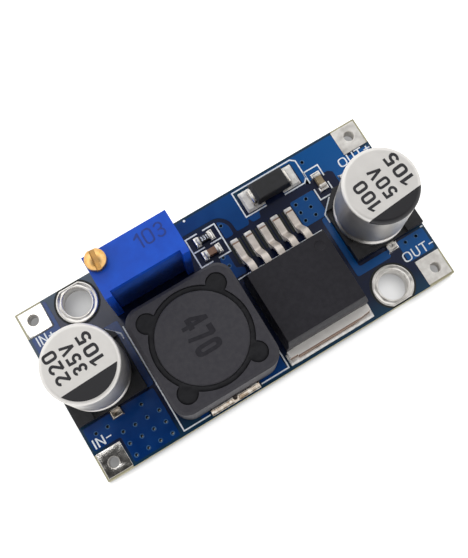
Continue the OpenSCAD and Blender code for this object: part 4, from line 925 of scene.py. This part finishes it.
CASE_EDGE, POTTING_EDGE, PIN_EDGE = 0.12, 0.1, 0.04
SLOT_SHADE_FROM, SLOT_SHADE_TO = 0.5, 0.35  # the slot's floor and walls are painted darker as shade, fading out between these depths
MARK_PEN, MARK_PLACE, MARK_SIZE, MARK_T = 0.11, (-5.08, 7.78), (3.3, 1.65), 0.012
# Moulded blue nylon: strong even blue, satin, slightly sunk grain from the mould.
blue_moulding = worked("blue_moulding", ("#0b48bb", "#1053cb"), 1.5, (0.34, 0.42), 0.2, 0.006,
                       {"IOR": 1.42})
# Blue potting: the same blue, duller, with a surface that sank as it cured.
potting = worked("blue_potting", ("#2048a0", "#2955b2"), 0.8, (0.35, 0.5), 0.3, 0.02,
                 {"IOR": 1.5})
# Turned brass: warm yellow metal, bright on top and painted brown in the slot as its shade.
brass = worked("turned_brass", ("#e8b367", "#f6ca8c"), 0.5, (0.26, 0.36), 0.12, 0.003,
               {"Metallic": 1.0})
# Seal rubber: dull brown-black.
seal_rubber = worked("seal_rubber", ("#1f1a18", "#2c2623"), 0.4, (0.6, 0.7), 0.1, 0.01)
# Wheel plastic: cream and half matt.
wheel_plastic = worked("wheel_plastic", ("#d8d3c4", "#e9e5d8"), 0.6, (0.4, 0.5), 0.15, 0.006)
# Wiper spring: pale yellow bronze strip, bright.
wiper_spring = worked("wiper_spring", ("#b99b58", "#d3b878"), 0.4, (0.25, 0.35), 0.1, 0.004,
                      {"Metallic": 1.0})
# White ceramic: chalky, off-white.
white_ceramic = worked("white_ceramic", ("#dedbd2", "#efece4"), 0.5, (0.5, 0.6), 0.1, 0.006)
finished(rounded("trimmer_housing", CASE_EDGE, 3), blue_moulding, "blue_moulding",
         "trimmer_housing")
tree = brass.node_tree
shader = tree.nodes["Principled BSDF"]
screw_top = extent("trimmer_screw")[1].z
height = add(tree, "SeparateXYZ", {"Vector": add(tree, "TexCoord").outputs["Object"]})
# Painted shade: the brass turns brown with depth in the slot.
depth = add(tree, "MapRange",
            {"Value": height.outputs["Z"], "From Min": (screw_top - SLOT_SHADE_FROM) * MM,
             "From Max": (screw_top - SLOT_SHADE_TO) * MM, "To Min": 0.6, "To Max": 0.0})
slot_shade = add(tree, "Mix",
              {0: depth, 6: shader.inputs["Base Color"].links[0].from_socket,
               7: linear("#8a6231")}, data_type="RGBA")
tree.links.new(slot_shade.outputs[2], shader.inputs["Base Color"])
finished(copy_of("trimmer_screw", "trimmer_screw_finished"), brass, "brass_screw", "trimmer_screw",
         body="adjusting_screw", smooth=25)
finished(rounded("trimmer_potting", POTTING_EDGE), potting, "blue_potting", "trimmer_potting")
for number in (1, 2, 3):
    node = f"trimmer_pin_{number}"
    finished(rounded(node, PIN_EDGE), tinned_strip, "tinned_strip", node)
dress(seal_rubber, "trimmer_seal")
dress(wheel_plastic, "trimmer_worm_wheel")
dress(wiper_spring, "trimmer_wiper")
dress(white_ceramic, "trimmer_element")
# Blue ink: a darker blue that sinks into the case's own.
blue_ink = worked("blue_ink", ("#0f2f7e", "#153a92"), 0.4, (0.4, 0.5), 0.12, 0.004)
case_top = extent("trimmer_housing")[1].z
value = lettering("trimmer_value", "103", MARK_PEN, MARK_PLACE, MARK_SIZE, 0,
                  case_top - MASK_SINK, case_top + MARK_T)
finished(value, blue_ink, "blue_moulding")


# Studio: a sheet of pale paper under a light tent, with a soft lamp above and behind on the left
# and a weak one on the right. The tent is dark where the camera looks in.

PAPER_W = 4.0                   # metres
PAPER_MIRRORED = 0.8            # how much of the paper's glow shows in metal
OPEN_GLOW = 0.58
SHADE_IN, SHADE_OUT = -0.4, 0.5  # across the board's edge, from the shaded paper to the open
LIT_SPOTS = (-14.7, 7.25), (14.6, -8.3)  # where light falls through the mounting holes
SPOT_IN, SPOT_OUT = 0.4, 3.0    # a spot fades between these distances from its middle
SPOT_FADED = 0.33
UNDER_X, UNDER_GLOW = 15.0, (0.44, 0.66)  # the spots are brighter towards the output end
CAMERA_PLACE = Vector((-9.392, -16.893, 106.233)) * MM
CAMERA_TURN = 11.431, 0.451, -31.137
LENS = 63.201
OPENING, OPENING_LIGHT = (13, 30), (0.03, 0.32)  # degrees off the camera's axis, and strength
WALLS, WALL_LIGHT = (30, 56), 1.15
KEY_SIDE = Vector((-0.6, 0.7, 0.35)).normalized()
KEY_LIGHT = 0.75, 1.25          # from the far side of the tent to the key side
SKIRT_H, SKIRT_LIGHT = 0.5, 0.5  # the tent darkens towards the table
BACKDROP = 0.3, 0.5             # height over which a white backdrop gives way to the tent


def watched(tree, share):
    """Node that is 1 for what the camera sees, and a share for what metal or glass mirrors."""
    rays = add(tree, "LightPath")
    mirrored = add(tree, "Math", {0: rays.outputs["Is Glossy Ray"],
                                  1: rays.outputs["Is Transmission Ray"]}, operation="MAXIMUM")
    dimmed = add(tree, "Math", {0: mirrored, 1: share}, operation="MULTIPLY")
    return add(tree, "Math", {0: rays.outputs["Is Camera Ray"], 1: dimmed}, operation="MAXIMUM")


bpy.ops.object.select_all(action="DESELECT")
bpy.ops.mesh.primitive_plane_add(size=PAPER_W)
table = bpy.context.object
table.name = "table"
# White paper: an even white that keeps the shadow. Under the board it is painted grey as a painted
# shadow, and it glows in painted pools of light where light falls through the mounting holes.
paper = bpy.data.materials.new("white_paper")
paper.use_nodes = True
tree = paper.node_tree
shader = tree.nodes["Principled BSDF"]
shader.inputs["Roughness"].default_value = 0.9
in_open = add(tree, "MapRange",
              {"Value": past_edge(tree), "From Min": SHADE_IN * MM, "From Max": SHADE_OUT * MM},
              interpolation_type="SMOOTHSTEP")
# Painted shadow: the paper is grey under the board.
tone = add(tree, "Mix", {0: in_open, 6: linear("#8a8a8a"), 7: linear("#f4f4f4")}, data_type="RGBA")
tree.links.new(tone.outputs[2], shader.inputs["Base Color"])
place = add(tree, "TexCoord").outputs["Object"]
to_spots = [add(tree, "VectorMath", {0: place, 1: [c * MM for c in (*spot, 0)]},
                operation="DISTANCE").outputs["Value"] for spot in LIT_SPOTS]
to_spot = add(tree, "Math", {0: to_spots[0], 1: to_spots[1]}, operation="MINIMUM")
# Painted light: glowing spots under the two mounting holes, brighter towards the output end.
shaft = add(tree, "MapRange",
            {"Value": to_spot, "From Min": SPOT_IN * MM, "From Max": SPOT_OUT * MM,
             "To Min": 1.0, "To Max": SPOT_FADED}, interpolation_type="SMOOTHSTEP")
along = add(tree, "SeparateXYZ", {"Vector": place})
brighter = add(tree, "MapRange",
               {"Value": along.outputs["X"], "From Min": -UNDER_X * MM, "From Max": UNDER_X * MM,
                "To Min": UNDER_GLOW[0], "To Max": UNDER_GLOW[1]})
under = add(tree, "Math", {0: shaft, 1: brighter}, operation="MULTIPLY")
level = add(tree, "Mix", {0: in_open, 2: under, 3: OPEN_GLOW}, data_type="FLOAT")
share = add(tree, "Math", {0: watched(tree, PAPER_MIRRORED), 1: level}, operation="MULTIPLY")
glow = add(tree, "Emission", {"Color": linear("#ffffff"), "Strength": share})
blend = add(tree, "AddShader", {0: shader, 1: glow})
tree.links.new(blend.outputs["Shader"], tree.nodes["Material Output"].inputs["Surface"])
table.data.materials.append(paper)

camera = bpy.data.cameras.new("camera")
camera.lens = LENS
camera.sensor_width = 36.0
camera.clip_start = 0.005
view = bpy.data.objects.new("camera", camera)
view.location = CAMERA_PLACE
view.rotation_euler = [math.radians(a) for a in CAMERA_TURN]
bpy.context.scene.collection.objects.link(view)
bpy.context.scene.camera = view

world = bpy.data.worlds.new("light_tent")
bpy.context.scene.world = world
world.use_nodes = True
tree = world.node_tree
background = tree.nodes["Background"]
way = add(tree, "TexCoord").outputs["Generated"]
closeness = add(tree, "VectorMath", {0: way, 1: CAMERA_PLACE.normalized()},
                operation="DOT_PRODUCT")
off_axis = add(tree, "Math", {0: closeness.outputs["Value"]}, operation="ARCCOSINE")
opening = add(tree, "MapRange",
              {"Value": off_axis, "From Min": math.radians(OPENING[0]),
               "From Max": math.radians(OPENING[1]), "To Min": OPENING_LIGHT[0],
               "To Max": OPENING_LIGHT[1]}, interpolation_type="SMOOTHSTEP")
walls = add(tree, "MapRange",
            {"Value": off_axis, "From Min": math.radians(WALLS[0]),
             "From Max": math.radians(WALLS[1]), "To Max": WALL_LIGHT},
            interpolation_type="SMOOTHSTEP")
side = add(tree, "VectorMath", {0: way, 1: KEY_SIDE}, operation="DOT_PRODUCT")
brighter = add(tree, "MapRange",
               {"Value": side.outputs["Value"], "From Min": -1.0, "To Min": KEY_LIGHT[0],
                "To Max": KEY_LIGHT[1]})
upward = add(tree, "SeparateXYZ", {"Vector": way}).outputs["Z"]
skirt = add(tree, "MapRange", {"Value": upward, "From Max": SKIRT_H, "To Min": SKIRT_LIGHT},
            interpolation_type="SMOOTHSTEP")
shade = add(tree, "Math", {0: brighter, 1: skirt}, operation="MULTIPLY")
tent = add(tree, "Math", {0: walls, 1: shade, 2: opening}, operation="MULTIPLY_ADD")
# Low down, the camera and the metal see the tent as white paper. It gives no more light for that.
backdrop = add(tree, "MapRange",
               {"Value": upward, "From Min": BACKDROP[0], "From Max": BACKDROP[1],
                "To Min": watched(tree, 1.0), "To Max": 0.0})
lit = add(tree, "Mix", {0: backdrop, 2: tent, 3: 1.0}, data_type="FLOAT")
tree.links.new(lit.outputs[0], background.inputs["Strength"])
background.inputs["Color"].default_value = linear("#ffffff")

for name, size, power, place in (
        ("soft_lamp", (0.12, 0.12), 0.13, (-0.062, 0.146, 0.5)),
        ("right_fill", (0.1, 0.15), 0.016, (0.15, 0.07, 0.5))):
    light = bpy.data.lights.new(name, "AREA")
    light.shape = "RECTANGLE"
    light.size, light.size_y = size
    light.energy = power
    lamp = bpy.data.objects.new(name, light)
    lamp.location = place
    lamp.rotation_euler = (-lamp.location).to_track_quat("-Z", "Y").to_euler()
    bpy.context.scene.collection.objects.link(lamp)

bpy.context.scene.view_settings.view_transform = "Standard"
